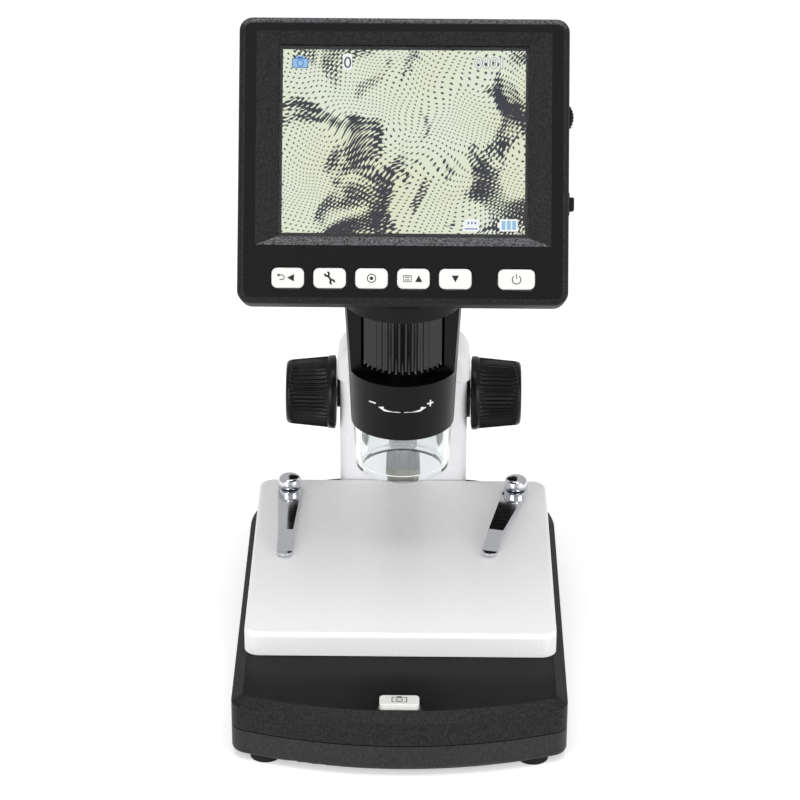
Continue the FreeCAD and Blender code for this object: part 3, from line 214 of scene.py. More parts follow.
def clear(name, code, ior, roughness):
    """Clear acrylic or glass, with handling marks 9 mm wide that faintly dull its polish."""
    material, tree, shader, spot = surface(name, {
        "Base Color": linear(code), "IOR": ior, "Transmission Weight": 1.0})
    smears = add(tree, "ShaderNodeTexNoise", None, {"Vector": spot, "Scale": 1000 / 9, "Detail": 3.0})
    feed(tree, shader, {"Roughness": add(tree, "ShaderNodeMapRange", None, {
        "Value": smears, "From Min": 0.45, "From Max": 0.75, "To Min": 0.0, "To Max": roughness})})
    return material


def circuit_board():
    """Glass-fibre board under green solder mask, with copper tracks 0.4 mm wide that show through."""
    material, tree, shader, spot = surface("solder_mask_board", {"IOR": 1.5})
    tracks = add(tree, "ShaderNodeTexBrick", {"offset": 0.35}, {
        "Vector": spot, "Color1": linear("#0d4526"), "Color2": linear("#11532d"), "Mortar": linear("#2c7a4a"),
        "Scale": 1.0, "Mortar Size": 0.0002, "Brick Width": 0.0052, "Row Height": 0.0018})
    feed(tree, shader, {"Base Color": tracks, "Roughness": add(tree, "ShaderNodeMapRange", None, {
        "Value": tracks.outputs[1], "To Min": 0.35, "To Max": 0.25})})
    return material


def lit_picture():
    """The lit panel: a greatly enlarged print of rows of dots and hatching, with a black border."""
    material, tree, shader, spot = surface("lit_lcd_picture", {
        "Base Color": BLACK, "Roughness": 0.35, "Emission Strength": 1.0})
    face = add(tree, "ShaderNodeMapping", {"vector_type": "TEXTURE"}, {
        "Vector": spot, "Location": tuple(on_display(0, 0, 0)), "Rotation": (-LEAN, 0.0, 0.0),
        "Scale": (0.001, 0.001, 0.001)})
    bend = add(tree, "ShaderNodeTexNoise", None, {
        "Vector": face, "Scale": 0.05, "Detail": 1.0, "Roughness": 0.4})
    shift = add(tree, "ShaderNodeVectorMath", {"operation": "MULTIPLY_ADD"}, (
        bend.outputs["Color"], (17.0, 0.0, 17.0), face))
    tone = add(tree, "ShaderNodeTexNoise", None, {
        "Vector": face, "Scale": 0.06, "Detail": 3.0, "Roughness": 0.5, "Distortion": 1.2})

    def stripes(direction, pitch):
        """Dark to light and back across the print, once in each pitch of millimetres."""
        run = add(tree, "ShaderNodeVectorMath", {"operation": "DOT_PRODUCT"}, (
            shift, tuple(v * 2 * math.pi / pitch for v in direction)))
        return add(tree, "ShaderNodeMath", {"operation": "SINE"}, (run.outputs["Value"],))

    dots = add(tree, "ShaderNodeMath", {"operation": "MULTIPLY"}, (
        stripes((0.88, 0.0, 0.47), 1.95), stripes((-0.42, 0.0, 0.91), 1.8)))
    hatch = stripes((0.62, 0.0, -0.78), 0.95)
    shade = add(tree, "ShaderNodeMath", {"operation": "MULTIPLY_ADD"}, (tone, 7.0, -4.0))
    ink = add(tree, "ShaderNodeMath", {"operation": "MAXIMUM"}, (shade, -0.42))
    ink_dots = add(tree, "ShaderNodeMath", {"operation": "ADD"}, (dots, ink))
    ink_lines = add(tree, "ShaderNodeMath", {"operation": "MULTIPLY_ADD"}, (hatch, 0.5, ink))
    darkest = add(tree, "ShaderNodeMath", {"operation": "MAXIMUM"}, (ink_dots, ink_lines))
    mask = add(tree, "ShaderNodeMapRange", {"interpolation_type": "SMOOTHSTEP"}, {
        "Value": darkest, "From Min": 0.12, "From Max": 0.42})
    paper = add(tree, "ShaderNodeMix", COLOURS, {0: bend, 6: linear("#dfe9e0"), 7: linear("#dcdcb4")})
    print_ink = add(tree, "ShaderNodeMix", COLOURS, {
        0: bend.outputs["Color"], 6: linear("#08090c"), 7: linear("#12132e")})
    picture = add(tree, "ShaderNodeMix", COLOURS, {0: mask, 6: paper, 7: print_ink})
    places = add(tree, "ShaderNodeSeparateXYZ", None, {"Vector": face})
    within = []
    for axis, half in zip("XZ", PICTURE_HALF):
        off = add(tree, "ShaderNodeMath", {"operation": "ABSOLUTE"}, (places.outputs[axis],))
        within.append(add(tree, "ShaderNodeMath", {"operation": "LESS_THAN"}, (off, half)))
    inside = add(tree, "ShaderNodeMath", {"operation": "MULTIPLY"}, tuple(within))
    colour = add(tree, "ShaderNodeMix", COLOURS, {0: inside, 6: BLACK, 7: picture})
    feed(tree, shader, {"Emission Color": colour})
    return material


def glowing(name, code):
    """A flat part of the lit picture, with the panel's faint rows, drawn coarse enough to show."""
    material, tree, shader, spot = surface(name, {"Base Color": BLACK, "Emission Strength": 1.0})
    rows = add(tree, "ShaderNodeTexWave", {"bands_direction": "Z"}, {"Vector": spot, "Scale": 1000 / 2.0})
    bright = linear(code)
    dim = tuple(0.93 * channel for channel in bright[:3]) + (1.0,)
    feed(tree, shader, {"Emission Color": add(tree, "ShaderNodeMix", COLOURS, {
        0: rows.outputs[1], 6: dim, 7: bright})})
    return material


finishes = {
    # Black ABS from a coarse tool: dull, with specks of light on edges and walls, and painted light on the
    # display's upward bevels
    "bezel": bezel_finish(),
    "housing": moulded("display_abs", "#08080a", "#1a1a1d", 0.5, 0.75, 0.05, 0.2),
    "walls": moulded("base_bottom_abs", "#101011", "#262628", 0.5, 0.75, 0.05, 0.3),
    "deck": deck_and_walls(),
    # Black ABS from a finer tool: soft, even highlights along the round forms
    "head": moulded("head_abs", "#050506", "#0b0b0d", 0.36, 0.6, 0.008, 0.15),
    "grip": moulded("grip_abs", "#030304", "#08080a", 0.3, 0.6, 0.006, 0.2),
    # Polycarbonate from a polished tool: bright streaks along the ridges
    "gloss": moulded("ring_polycarbonate", "#030304", "#060607", 0.18, 0.8, 0.003, 0.45),
    # White ABS, nearly smooth: a calm satin tone that shades gently
    "white": moulded("column_white_abs", "#ececee", "#f1f1f2", 0.32, 0.8, 0.004, 0.4, 0.01),
    "stage": moulded("stage_white_abs", "#ededee", "#f2f2f3", 0.3, 0.8, 0.003, 0.4, 0.01),
    "key": moulded("key_white_abs", "#d6d6d2", "#dededb", 0.42, 0.5, 0.008, 0.4),
    # Natural acetal: milky and a little waxy
    "acetal": moulded("guide_acetal", "#cfcdc6", "#dad8d2", 0.38, 0.7, 0.01, 0.4),
    # Soft rubber: black with no clear highlight
    "rubber": moulded("foot_tpe_rubber", "#121214", "#1d1d20", 0.8, 0.6, 0.03, 0.2),
    # Shrunk film over the cell: slightly wavy, with smeared highlights
    "cell": moulded("battery_film_wrap", "#4f5f73", "#5b6c81", 0.35, 1.2, 0.02, 0.5),
    # Pad-printed ink and paint: flat and even
    "ink": moulded("legend_ink", "#0c0c0d", "#1b1b1d", 0.5, 0.4, 0.004, 0.3),
    "paint": moulded("mark_paint_white", "#e4e4e4", "#f2f2f2", 0.45, 0.4, 0.004, 0.3),
    # The shaded inside of a screw's recess: nearly black
    "recess": moulded("screw_recess_shadow", "#0a0a0b", "#131315", 0.7, 0.5, 0.02, 0.2),
    # Cast epoxy over the lamps: pale yellow and glossy
    "epoxy": moulded("lamp_epoxy", "#e9e2b4", "#f4f1dc", 0.12, 0.8, 0.004, 0.5),
    # Chrome plate mirrors the room, brushed steel draws its lights out, and cut brass glints in short strokes
    "chrome": metal("chrome_plated_spring_steel", "#dcdde1", 0.07, (90.0, 90.0, 90.0), 0.004),
    "steel": metal("brushed_steel", "#b4b5b8", 0.3, (3000.0, 3000.0, 60.0), 0.004),
    "brass": metal("cut_brass", "#b8903f", 0.26, (60.0, 2500.0, 2500.0), 0.006),
    # Polished acrylic and coated glass: clear, with bright rims. The pane mirrors least.
    "acrylic": clear("clear_acrylic", "#f4f7f7", 1.49, 0.06),
    "pane": clear("screen_acrylic", "#fbfcfc", 1.25, 0.03),
    "lens": clear("coated_lens_glass", "#e6eef2", 1.52, 0.02),
    "board": circuit_board(),
    "picture": lit_picture(),
    # Lit fields of the picture: plain colours that give their own light
    "glow_white": glowing("lit_white", "#f4f6f4"),
    "glow_blue": glowing("lit_pale_blue", "#8fc0e6"),
    "glow_deep": glowing("lit_deep_blue", "#2f62b0"),
    "glow_dark": glowing("lit_dark", "#1a1d24"),
}

worn_by = {
    "bezel": "display_bezel",
    "housing": "display_rear_shell side_button side_button_collar",
    "walls": "base_bottom_case switch_board_stands",
    "deck": "base_top_case",
    "head": "head_housing focus_arm",
    "grip": "left_focus_knob right_focus_knob left_bush right_bush brightness_wheel",
    "gloss": "focus_ring lens_barrel",
    "white": "column_front_shell column_rear_shell column_cap",
    "stage": "stage_plate",
    "key": "back_key settings_key enter_key mode_key down_key power_key snap_button",
    "acetal": "slide_guide",
    "rubber": "rubber_feet",
    "cell": "battery",
    "chrome": "left_clip_post right_clip_post left_stage_clip right_stage_clip",
    "steel": "slide_bar focus_shaft case_screws ballast_plate bar_screw wheel_stud usb_socket card_socket",
    "brass": "rack pinion",
    "acrylic": "clear_shade",
    "pane": "screen_window",
    "lens": "lens_elements",
    "board": "sensor_board led_board main_board key_board snap_switch_board side_switch",
    "picture": "lcd_panel",
    "epoxy": "leds",
}
for finish, names in worn_by.items():
    for name in names.split():
        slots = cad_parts[name].data.materials
        if not slots:
            slots.append(None)
        for i in range(len(slots)):
            slots[i] = finishes[finish]


# Making pieces

def piece(name, mesh, body, finish=None, smooth=None):
    """Links a finished mesh as an object that rides on a body."""
    if smooth is not None:
        mesh.shade_smooth()
        mesh.set_sharp_from_angle(angle=math.radians(smooth))
    made = bpy.data.objects.new(name, mesh)
    bpy.context.scene.collection.objects.link(made)
    if finish:
        mesh.materials.clear()
        mesh.materials.append(finishes[finish])
    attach(made, body)
    return made


def outward(mesh):
    """Merges doubles and turns every face outwards."""
    shape = bmesh.new()
    shape.from_mesh(mesh)
    bmesh.ops.remove_doubles(shape, verts=shape.verts, dist=1e-7)
    bmesh.ops.dissolve_degenerate(shape, edges=shape.edges, dist=1e-8)
    bmesh.ops.recalc_face_normals(shape, faces=shape.faces)
    shape.to_mesh(mesh)
    shape.free()


def group_with(name, inputs):
    """A geometry tree with named inputs; returns the tree, its input node and a function that ends it."""
    tree = bpy.data.node_groups.new(name, "GeometryNodeTree")
    tree.interface.new_socket("Geometry", in_out="INPUT", socket_type="NodeSocketGeometry")
    tree.interface.new_socket("Geometry", in_out="OUTPUT", socket_type="NodeSocketGeometry")
    for label, kind in inputs:
        tree.interface.new_socket(label, in_out="INPUT", socket_type="NodeSocket" + kind)
    tree.interface.new_socket("Finish", in_out="INPUT", socket_type="NodeSocketMaterial")
    given = add(tree, "NodeGroupInput")

    def close(shape):
        real = add(tree, "GeometryNodeRealizeInstances", None, {"Geometry": shape})
        dressed = add(tree, "GeometryNodeSetMaterial", None, {
            "Geometry": real, "Material": given.outputs["Finish"]})
        add(tree, "NodeGroupOutput", None, {0: dressed})

    return tree, given, close


def grown(name, mesh, tree, values):
    """Runs a geometry tree on a mesh and returns the plain mesh it makes."""
    seed = bpy.data.objects.new(name + "_seed", mesh)
    bpy.context.scene.collection.objects.link(seed)
    modifier = seed.modifiers.new("shape", "NODES")
    modifier.node_group = tree
    for item in tree.interface.items_tree:
        if item.in_out == "INPUT" and item.name in values:
            modifier[item.identifier] = values[item.name]
    bpy.context.view_layer.update()
    result = bpy.data.meshes.new_from_object(seed.evaluated_get(bpy.context.evaluated_depsgraph_get()))
    bpy.data.objects.remove(seed)
    return result


def fluted_tree():
    """Sweeps a profile once round, and presses rounded flutes where the profile's flute value is 1."""
    tree, given, close = group_with("fluted_grip", (
        ("Flutes", "Int"), ("Steps per flute", "Int"), ("Flute depth", "Float"), ("Crest width", "Float")))
    profile = given.outputs["Geometry"]
    flutes, steps = given.outputs["Flutes"], given.outputs["Steps per flute"]
    count = add(tree, "GeometryNodeAttributeDomainSize", None, {"Geometry": profile}).outputs["Point Count"]
    columns = add(tree, "ShaderNodeMath", {"operation": "MULTIPLY"}, (flutes, steps))
    lines = add(tree, "ShaderNodeMath", {"operation": "ADD"}, (columns, 1.0))
    sheet = add(tree, "GeometryNodeMeshGrid", None, {"Vertices X": lines, "Vertices Y": count})

    # Each point of the sheet finds its column, its row of the profile and its angle
    index = add(tree, "GeometryNodeInputIndex")
    middle = add(tree, "ShaderNodeMath", {"operation": "ADD"}, (index, 0.5))
    share = add(tree, "ShaderNodeMath", {"operation": "DIVIDE"}, (middle, count))
    column = add(tree, "ShaderNodeMath", {"operation": "FLOOR"}, (share,))
    before = add(tree, "ShaderNodeMath", {"operation": "MULTIPLY"}, (column, count))
    row = add(tree, "ShaderNodeMath", {"operation": "SUBTRACT"}, (index, before))
    turn = add(tree, "ShaderNodeMath", {"operation": "DIVIDE"}, (column, columns))
    angle = add(tree, "ShaderNodeMath", {"operation": "MULTIPLY"}, (turn, 2 * math.pi))
    point = add(tree, "GeometryNodeSampleIndex", {"data_type": "FLOAT_VECTOR"}, {
        "Geometry": profile, "Value": add(tree, "GeometryNodeInputPosition"), "Index": row})
    named = add(tree, "GeometryNodeInputNamedAttribute", None, {"Name": "flute"})
    fluted = add(tree, "GeometryNodeSampleIndex", NUMBERS, {
        "Geometry": profile, "Index": row, "Value": named})

    # A cosine round the sheet, sharpened by the crest width, gives how far each flute is pressed in
    round_flutes = add(tree, "ShaderNodeMath", {"operation": "MULTIPLY"}, (angle, flutes))
    wave = add(tree, "ShaderNodeMath", {"operation": "COSINE"}, (round_flutes,))
    trough = add(tree, "ShaderNodeMath", {"operation": "SUBTRACT"}, (1.0, wave))
    half = add(tree, "ShaderNodeMath", {"operation": "MULTIPLY"}, (trough, 0.5))
    hollow = add(tree, "ShaderNodeMath", {"operation": "POWER"}, (half, given.outputs["Crest width"]))
    pressed = add(tree, "ShaderNodeMath", {"operation": "MULTIPLY"}, (hollow, fluted))
    cut = add(tree, "ShaderNodeMath", {"operation": "MULTIPLY"}, (pressed, given.outputs["Flute depth"]))
    parts = add(tree, "ShaderNodeSeparateXYZ", None, {"Vector": point})
    radius = add(tree, "ShaderNodeMath", {"operation": "SUBTRACT"}, (parts.outputs["X"], cut))

    flat = []
    for direction in ("COSINE", "SINE"):
        part = add(tree, "ShaderNodeMath", {"operation": direction}, (angle,))
        flat.append(add(tree, "ShaderNodeMath", {"operation": "MULTIPLY"}, (radius, part)))
    where = add(tree, "ShaderNodeCombineXYZ", None, (*flat, parts.outputs["Z"]))
    swept = add(tree, "GeometryNodeSetPosition", None, {"Geometry": sheet.outputs["Mesh"], "Position": where})
    close(add(tree, "GeometryNodeMergeByDistance", None, {"Geometry": swept, "Distance": 1e-7}))
    return tree


def profile_mesh(points):
    """A line of points (radius, height, flute) in mm for the fluted tree."""
    mesh = bpy.data.meshes.new("profile")
    steps = [(i, i + 1) for i in range(len(points) - 1)]
    mesh.from_pydata([mm(r, 0, z) for r, z, flute in points], steps, [])
    layer = mesh.attributes.new("flute", "FLOAT", "POINT")
    for i, (r, z, flute) in enumerate(points):
        layer.data[i].value = flute
    return mesh


def turned_corner(r, z, size):
    """Points of a profile's quarter round, with no flutes."""
    turns = [math.radians(angle) for angle in range(0, 91, 15)]
    return [(r + size * math.cos(turn), z + size * math.sin(turn), 0.0) for turn in turns]


grips = fluted_tree()


def lathed(name, profile, finish, flutes, steps, depth, crest):
    """The closed mesh that a profile makes, with flutes of a depth in mm."""
    mesh = grown(name, profile_mesh(profile), grips, {
        "Flutes": flutes, "Steps per flute": steps, "Flute depth": depth / 1000, "Crest width": crest,
        "Finish": finishes[finish]})
    outward(mesh)
    return mesh


# Focus knobs: a plain flange by the column, 48 flutes along a slight taper, and a rounded cap
knob_profile = [
    (1.5, 0.0, 0), (10.5, 0.0, 0), (11.7, 0.3, 0), (11.8, 1.0, 0), (11.65, 2.2, 0), (11.4, 2.45, 0),
    (11.38, 2.8, 0.4), (11.3, 3.4, 1), (10.95, 7.0, 1), (10.55, 11.0, 1), (10.35, 13.2, 1),
    (10.26, 14.0, 0.5), *turned_corner(8.82, 14.5, 1.36),
    (7.6, 15.84, 0), (7.2, 15.62, 0), (3.0, 15.55, 0), (0.0, 15.55, 0)]
for side, turn in SIDES:
    knob = lathed(side + "_knob", knob_profile, "grip", flutes=48, steps=8, depth=0.55, crest=0.8)
    facing = Matrix.Rotation(turn * math.pi / 2, 4, "Y")
    knob.transform(Matrix.Translation(mm(turn * KNOB_INNER, *SHAFT)) @ facing)
    dressed = piece(side + "_fluted_knob", knob, "focus_drive", smooth=38)
    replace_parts(dressed, side + "_focus_knob")

# Focus ring: glossy, with 40 broad ridges, open in the middle. Its profile has the head's own heights.
ring_profile = [
    (8.8, 91.7, 0), (12.3, 91.7, 0), (12.8, 92.0, 0), (12.9, 92.5, 0), (12.9, 92.9, 1), (12.9, 98.0, 1),
    (12.9, 105.0, 1), (12.9, 111.4, 1), (12.8, 111.9, 0.4), (12.3, 112.4, 0), (8.8, 112.4, 0), (8.8, 91.7, 0)]
ring = lathed("ring", ring_profile, "gloss", flutes=40, steps=10, depth=0.9, crest=0.55)
ring.transform(Matrix.Translation(mm(0, TUBE_Y, 0)))
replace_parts(piece("ridged_focus_ring", ring, "ring", smooth=38), "focus_ring")

# Brightness wheel at the display's edge: coin-edge flutes that a fingertip turns
wheel_profile = [
    (1.25, 0.0, 0), (5.0, 0.0, 0), (5.5, 0.15, 0), (5.8, 0.5, 1), (5.8, 1.3, 1), (5.8, 2.1, 1),
    (5.5, 2.45, 0), (5.0, 2.6, 0), (1.25, 2.6, 0), (1.25, 0.0, 0)]
dial = lathed("dial", wheel_profile, "grip", flutes=36, steps=8, depth=0.35, crest=0.8)
into_housing = (on_display(0, 1, 0) - on_display(0, 0, 0)).to_track_quat("Z", "Y").to_matrix().to_4x4()
dial.transform(Matrix.Translation(on_display(*WHEEL_FRONT)) @ into_housing)
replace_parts(piece("coin_edged_wheel", dial, "wheel", smooth=38), "brightness_wheel")

# Clip posts: a seat and stem in the stage, and a rounded cap over the blade's eye, at their own heights
post_profile = [
    (0.0, 21.0, 0), (2.0, 21.0, 0), (2.0, 27.5, 0), (3.0, 27.5, 0), (3.0, 29.05, 0), (2.0, 29.05, 0),
    (2.0, 30.1, 0), (2.9, 30.15, 0), (3.3, 30.4, 0), (3.58, 30.9, 0), (3.65, 31.5, 0), (3.65, 32.3, 0),
    (3.5, 32.95, 0), (3.1, 33.5, 0), (2.4, 33.8, 0), (1.2, 33.9, 0), (0.0, 33.9, 0)]
for side, turn in SIDES:
    post = lathed(side + "_post", post_profile, "chrome", flutes=12, steps=6, depth=0.0, crest=1.0)
    post.transform(Matrix.Translation(mm(turn * POST_PLACE[0], POST_PLACE[1], 0)))
    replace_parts(piece(side + "_domed_post", post, "stand", smooth=40), side + "_clip_post")


def lamp_tree():
    """Sets out lamps on a circle, each a flanged foot with a domed lens that points down."""
    tree, given, close = group_with("lamp_circle", (
        ("Lamps", "Int"), ("Circle radius", "Float"), ("Foot radius", "Float"), ("Foot depth", "Float"),
        ("Lens radius", "Float")))
    places = add(tree, "GeometryNodeMeshCircle", None, {
        "Vertices": given.outputs["Lamps"], "Radius": given.outputs["Circle radius"]})
    foot = add(tree, "GeometryNodeMeshCylinder", None, {
        "Vertices": 20, "Radius": given.outputs["Foot radius"], "Depth": given.outputs["Foot depth"]})
    dome = add(tree, "GeometryNodeMeshUVSphere", None, {
        "Segments": 20, "Rings": 12, "Radius": given.outputs["Lens radius"]})
    lamp = add(tree, "GeometryNodeJoinGeometry")
    tree.links.new(foot.outputs["Mesh"], lamp.inputs[0])
    lower = add(tree, "GeometryNodeTransform", None, {
        "Geometry": dome.outputs["Mesh"], "Translation": (0.0, 0.0, -0.0003)})
    tree.links.new(lower.outputs[0], lamp.inputs[0])
    close(add(tree, "GeometryNodeInstanceOnPoints", None, {
        "Points": places.outputs["Mesh"], "Instance": lamp}))
    return tree


lamps = grown("lamps", bpy.data.meshes.new("lamp_place"), lamp_tree(), {
    "Lamps": LAMPS, "Circle radius": 0.010, "Foot radius": 0.0015, "Foot depth": 0.0005,
    "Lens radius": 0.00115, "Finish": finishes["epoxy"]})
half_step = math.radians(180 / LAMPS)
lamps.transform(Matrix.Translation(mm(0, TUBE_Y, LAMP_FEET)) @ Matrix.Rotation(half_step, 4, "Z"))
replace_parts(piece("domed_lamps", lamps, "carriage", smooth=40), "leds")


def cross_tree():
    """Puts a thin dark cross on each given point: painted shade for a screw's driver recess."""
    tree, given, close = group_with("driver_recess", (
        ("Arm length", "Float"), ("Arm width", "Float"), ("Thickness", "Float")))
    length, width, thickness = (given.outputs[name] for name in ("Arm length", "Arm width", "Thickness"))
    cross = add(tree, "GeometryNodeJoinGeometry")
    for x, y in ((length, width), (width, length)):
        size = add(tree, "ShaderNodeCombineXYZ", None, {"X": x, "Y": y, "Z": thickness})
        arm = add(tree, "GeometryNodeMeshCube", None, {"Size": size})
        tree.links.new(arm.outputs["Mesh"], cross.inputs[0])
    points = given.outputs["Geometry"]
    close(add(tree, "GeometryNodeInstanceOnPoints", None, {"Points": points, "Instance": cross}))
    return tree


# Painted shade: a thin near-black cross on each case screw stands for the shade inside its recess
screw_places = bpy.data.meshes.new("screw_places")
recess_middles = [mm(turn * SCREWS[0], row, SCREWS[1]) for side, turn in SIDES for row in SCREW_ROWS]
screw_places.from_pydata(recess_middles, [], [])
recess_shade_crosses = grown("recess_shade_crosses", screw_places, cross_tree(), {
    "Arm length": 0.0028, "Arm width": 0.0007, "Thickness": 0.00005, "Finish": finishes["recess"]})
piece("case_screw_recess_shades", recess_shade_crosses, "stand")


# Printed figures

def printed(name, outlines, where, body, finish, rise=0.01, thick=0.03):
    """Each outline of (across, up) points becomes a thin closed plate on the face that where describes."""
    shape = bmesh.new()
    for outline in outlines:
        low = [shape.verts.new(where(x, y, rise)) for x, y in outline]
        high = [shape.verts.new(where(x, y, rise + thick)) for x, y in outline]
        shape.faces.new(high)
        shape.faces.new(list(reversed(low)))
        for i in range(len(outline)):
            j = (i + 1) % len(outline)
            shape.faces.new((low[i], low[j], high[j], high[i]))
    bmesh.ops.recalc_face_normals(shape, faces=shape.faces)
    mesh = bpy.data.meshes.new(name)
    shape.to_mesh(mesh)
    shape.free()
    return piece(name, mesh, body, finish)


def arc(x, y, inner, outer, start, end, steps=14):
    """A bent strip, its angles in degrees, as one outline."""
    turns = [math.radians(start + (end - start) * i / steps) for i in range(steps + 1)]
    return [(x + outer * math.cos(a), y + outer * math.sin(a)) for a in turns] + \
           [(x + inner * math.cos(a), y + inner * math.sin(a)) for a in reversed(turns)]


def circle(x, y, inner, outer):
    """A closed ring, as two half turns."""
    return [arc(x, y, inner, outer, 0, 180), arc(x, y, inner, outer, 180, 360)]


def bar(x0, y0, x1, y1):
    return [(x0, y0), (x1, y0), (x1, y1), (x0, y1)]


def outline_box(x0, y0, x1, y1, line):
    return [bar(x0, y0, x1, y0 + line), bar(x0, y1 - line, x1, y1),
            bar(x0, y0 + line, x0 + line, y1 - line), bar(x1 - line, y0 + line, x1, y1 - line)]


def turned(outlines, degrees, x=0.0, y=0.0):
    """Outlines turned by an angle and then moved."""
    c, s = math.cos(math.radians(degrees)), math.sin(math.radians(degrees))
    return [[(x + c * u - s * v, y + s * u + c * v) for u, v in outline] for outline in outlines]


def wedge(x, y, size, degrees):
    """A solid triangle whose tip points to an angle."""
    tip = [(size * 0.62, 0.0), (-size * 0.5, size * 0.6), (-size * 0.5, -size * 0.6)]
    return turned([tip], degrees, x, y)


def camera_sign(x, y, wide, line):
    """A camera's outline with its finder and lens."""
    high = wide * 0.62
    left, low = x - wide / 2, y - high / 2
    finder = bar(x - wide * 0.16, low + high, x + wide * 0.16, low + high + line * 1.6)
    return outline_box(left, low, left + wide, low + high, line) + [finder] + \
        circle(x, y, wide * 0.17, wide * 0.17 + line)


spanner = [
    bar(-1.0, -0.3, 1.0, 0.3), arc(1.35, 0.0, 0.32, 0.85, 45, 315), arc(-1.35, 0.0, 0.32, 0.85, -135, 135)]
menu = [bar(-2.35, 0.25, -1.05, 0.5), bar(-2.35, -0.5, -1.05, -0.25)]
hook = [bar(-2.5, 0.62, -1.6, 0.86), arc(-1.6, 0.1, 0.52, 0.76, -90, 90), bar(-2.3, -0.66, -1.6, -0.42)]
legends = {
    "back_key": hook + wedge(-2.7, 0.74, 0.75, 180) + wedge(0.9, 0.0, 1.75, 180),
    "settings_key": turned(spanner, -56),
    "enter_key": circle(0, 0, 1.05, 1.3) + circle(0, 0, 0.02, 0.5),
    "mode_key": outline_box(-2.9, -0.95, -0.5, 0.95, 0.18) + menu + wedge(1.5, -0.1, 1.7, 90),
    "down_key": wedge(0.0, 0.1, 1.7, -90),
    "power_key": [arc(0, -0.1, 1.1, 1.35, 125, 415, 24), bar(-0.12, 0.1, 0.12, 1.55)],
}
for i, (key, outlines) in enumerate(legends.items()):
    centre = POWER_KEY if key == "power_key" else KEYS[0] + KEYS[1] * i
    printed(key.replace("_key", "_legend"), outlines,
            lambda x, y, rise, centre=centre: on_display(centre + x, KEY_FACE - rise, KEY_ROW + y),
            key + "_cap", "ink")
printed("snap_legend", camera_sign(0, 0, 4.4, 0.22),
        lambda x, y, rise: mm(x, SNAP_TOP[0] + y, SNAP_TOP[1] + rise), "snap_key", "ink")


def swept_arrow(sign):
    """A tapered stroke that ends in a barb, drawn round the band."""
    steps = 10
    lower = [(sign * (0.5 + 5.0 * i / steps), 0.03 * (i / steps) ** 2) for i in range(steps + 1)]
    upper = [(x, y + 0.12 + 0.5 * i / steps) for i, (x, y) in enumerate(lower)]
    return [lower + [(sign * 7.4, 1.1), (sign * 5.6, 1.5)] + list(reversed(upper))]


# A minus stands beyond the left arrow and a plus beyond the right one
marks = swept_arrow(-1) + swept_arrow(1)
marks += [[(-10.6, 1.9), (-9.7, 1.9), (-8.2, 1.9), (-8.2, 2.35), (-9.7, 2.35), (-10.6, 2.35)]]
marks += [bar(7.6, 1.95, 8.5, 2.4), bar(8.5, 1.1, 8.95, 3.2), bar(8.95, 1.95, 9.8, 2.4)]
printed("focus_marks", marks, on_band, "carriage", "paint", thick=0.04)


# Signs in the picture, in the thin air gap between the panel and the window

def on_picture(x, y, rise):
    return on_display(x, PANEL_FRONT - rise, y)


GROUND, FIGURE = 0.01, 0.05    # a sign's ground lies on the panel, and its figure on the ground
card = [(17.0, -25.4), (21.6, -25.4), (21.6, -21.9), (17.9, -21.9), (17.0, -22.8)]
contacts = [bar(18.3 + i, -23.4, 18.75 + i, -22.8) for i in range(3)]
charge = [bar(28.0 + 1.5 * i, -24.9, 29.1 + 1.5 * i, -22.4) for i in range(3)]
signs = (
    ("camera", [bar(-32.0, 20.9, -27.4, 23.7), bar(-30.8, 23.7, -28.6, 24.4)], "glow_blue", GROUND),
    ("camera_lines", camera_sign(-29.7, 22.3, 4.6, 0.25), "glow_deep", FIGURE),
    ("zero_ground", [bar(-17.6, 20.5, -14.9, 25.0)], "glow_white", GROUND),
    ("card", [card], "glow_white", GROUND),
    ("card_lines", [bar(17.5, -24.9, 21.1, -24.6)] + contacts, "glow_deep", FIGURE),
    ("battery", [bar(27.4, -25.4, 32.6, -21.9), bar(26.8, -24.4, 27.4, -22.9)], "glow_white", GROUND),
    ("battery_bars", charge, "glow_blue", FIGURE),
)
for name, outlines, finish, rise in signs:
    printed("picture_" + name, outlines, on_picture, "carriage", finish, rise)


def digits(name, text, x, y, size, finish, rise, swell=0.0):
    """Plain numerals of the picture, as thin plates. Swell, in mm, thickens their strokes."""
    curve = bpy.data.curves.new(name, "FONT")
    curve.body = text
    curve.size = size / 1000
    curve.extrude = 0.00001
    curve.offset = swell / 1000
    source = bpy.data.objects.new(name + "_type", curve)
    bpy.context.scene.collection.objects.link(source)
    bpy.context.view_layer.update()
    mesh = bpy.data.meshes.new_from_object(source.evaluated_get(bpy.context.evaluated_depsgraph_get()))
    bpy.data.objects.remove(source)
    facing = Matrix.Rotation(math.pi / 2 - LEAN, 4, "X")
    mesh.transform(Matrix.Translation(on_picture(x, y, rise)) @ facing)
    return piece(name, mesh, "carriage", finish)


digits("picture_zero", "0", -17.35, 21.0, 4.6, "glow_dark", rise=0.07)
digits("picture_counter_edge", "0001", 20.0, 21.2, 4.4, "glow_dark", rise=0.03, swell=0.12)
digits("picture_counter", "0001", 20.0, 21.2, 4.4, "glow_white", rise=0.07)


# Floor, light and camera

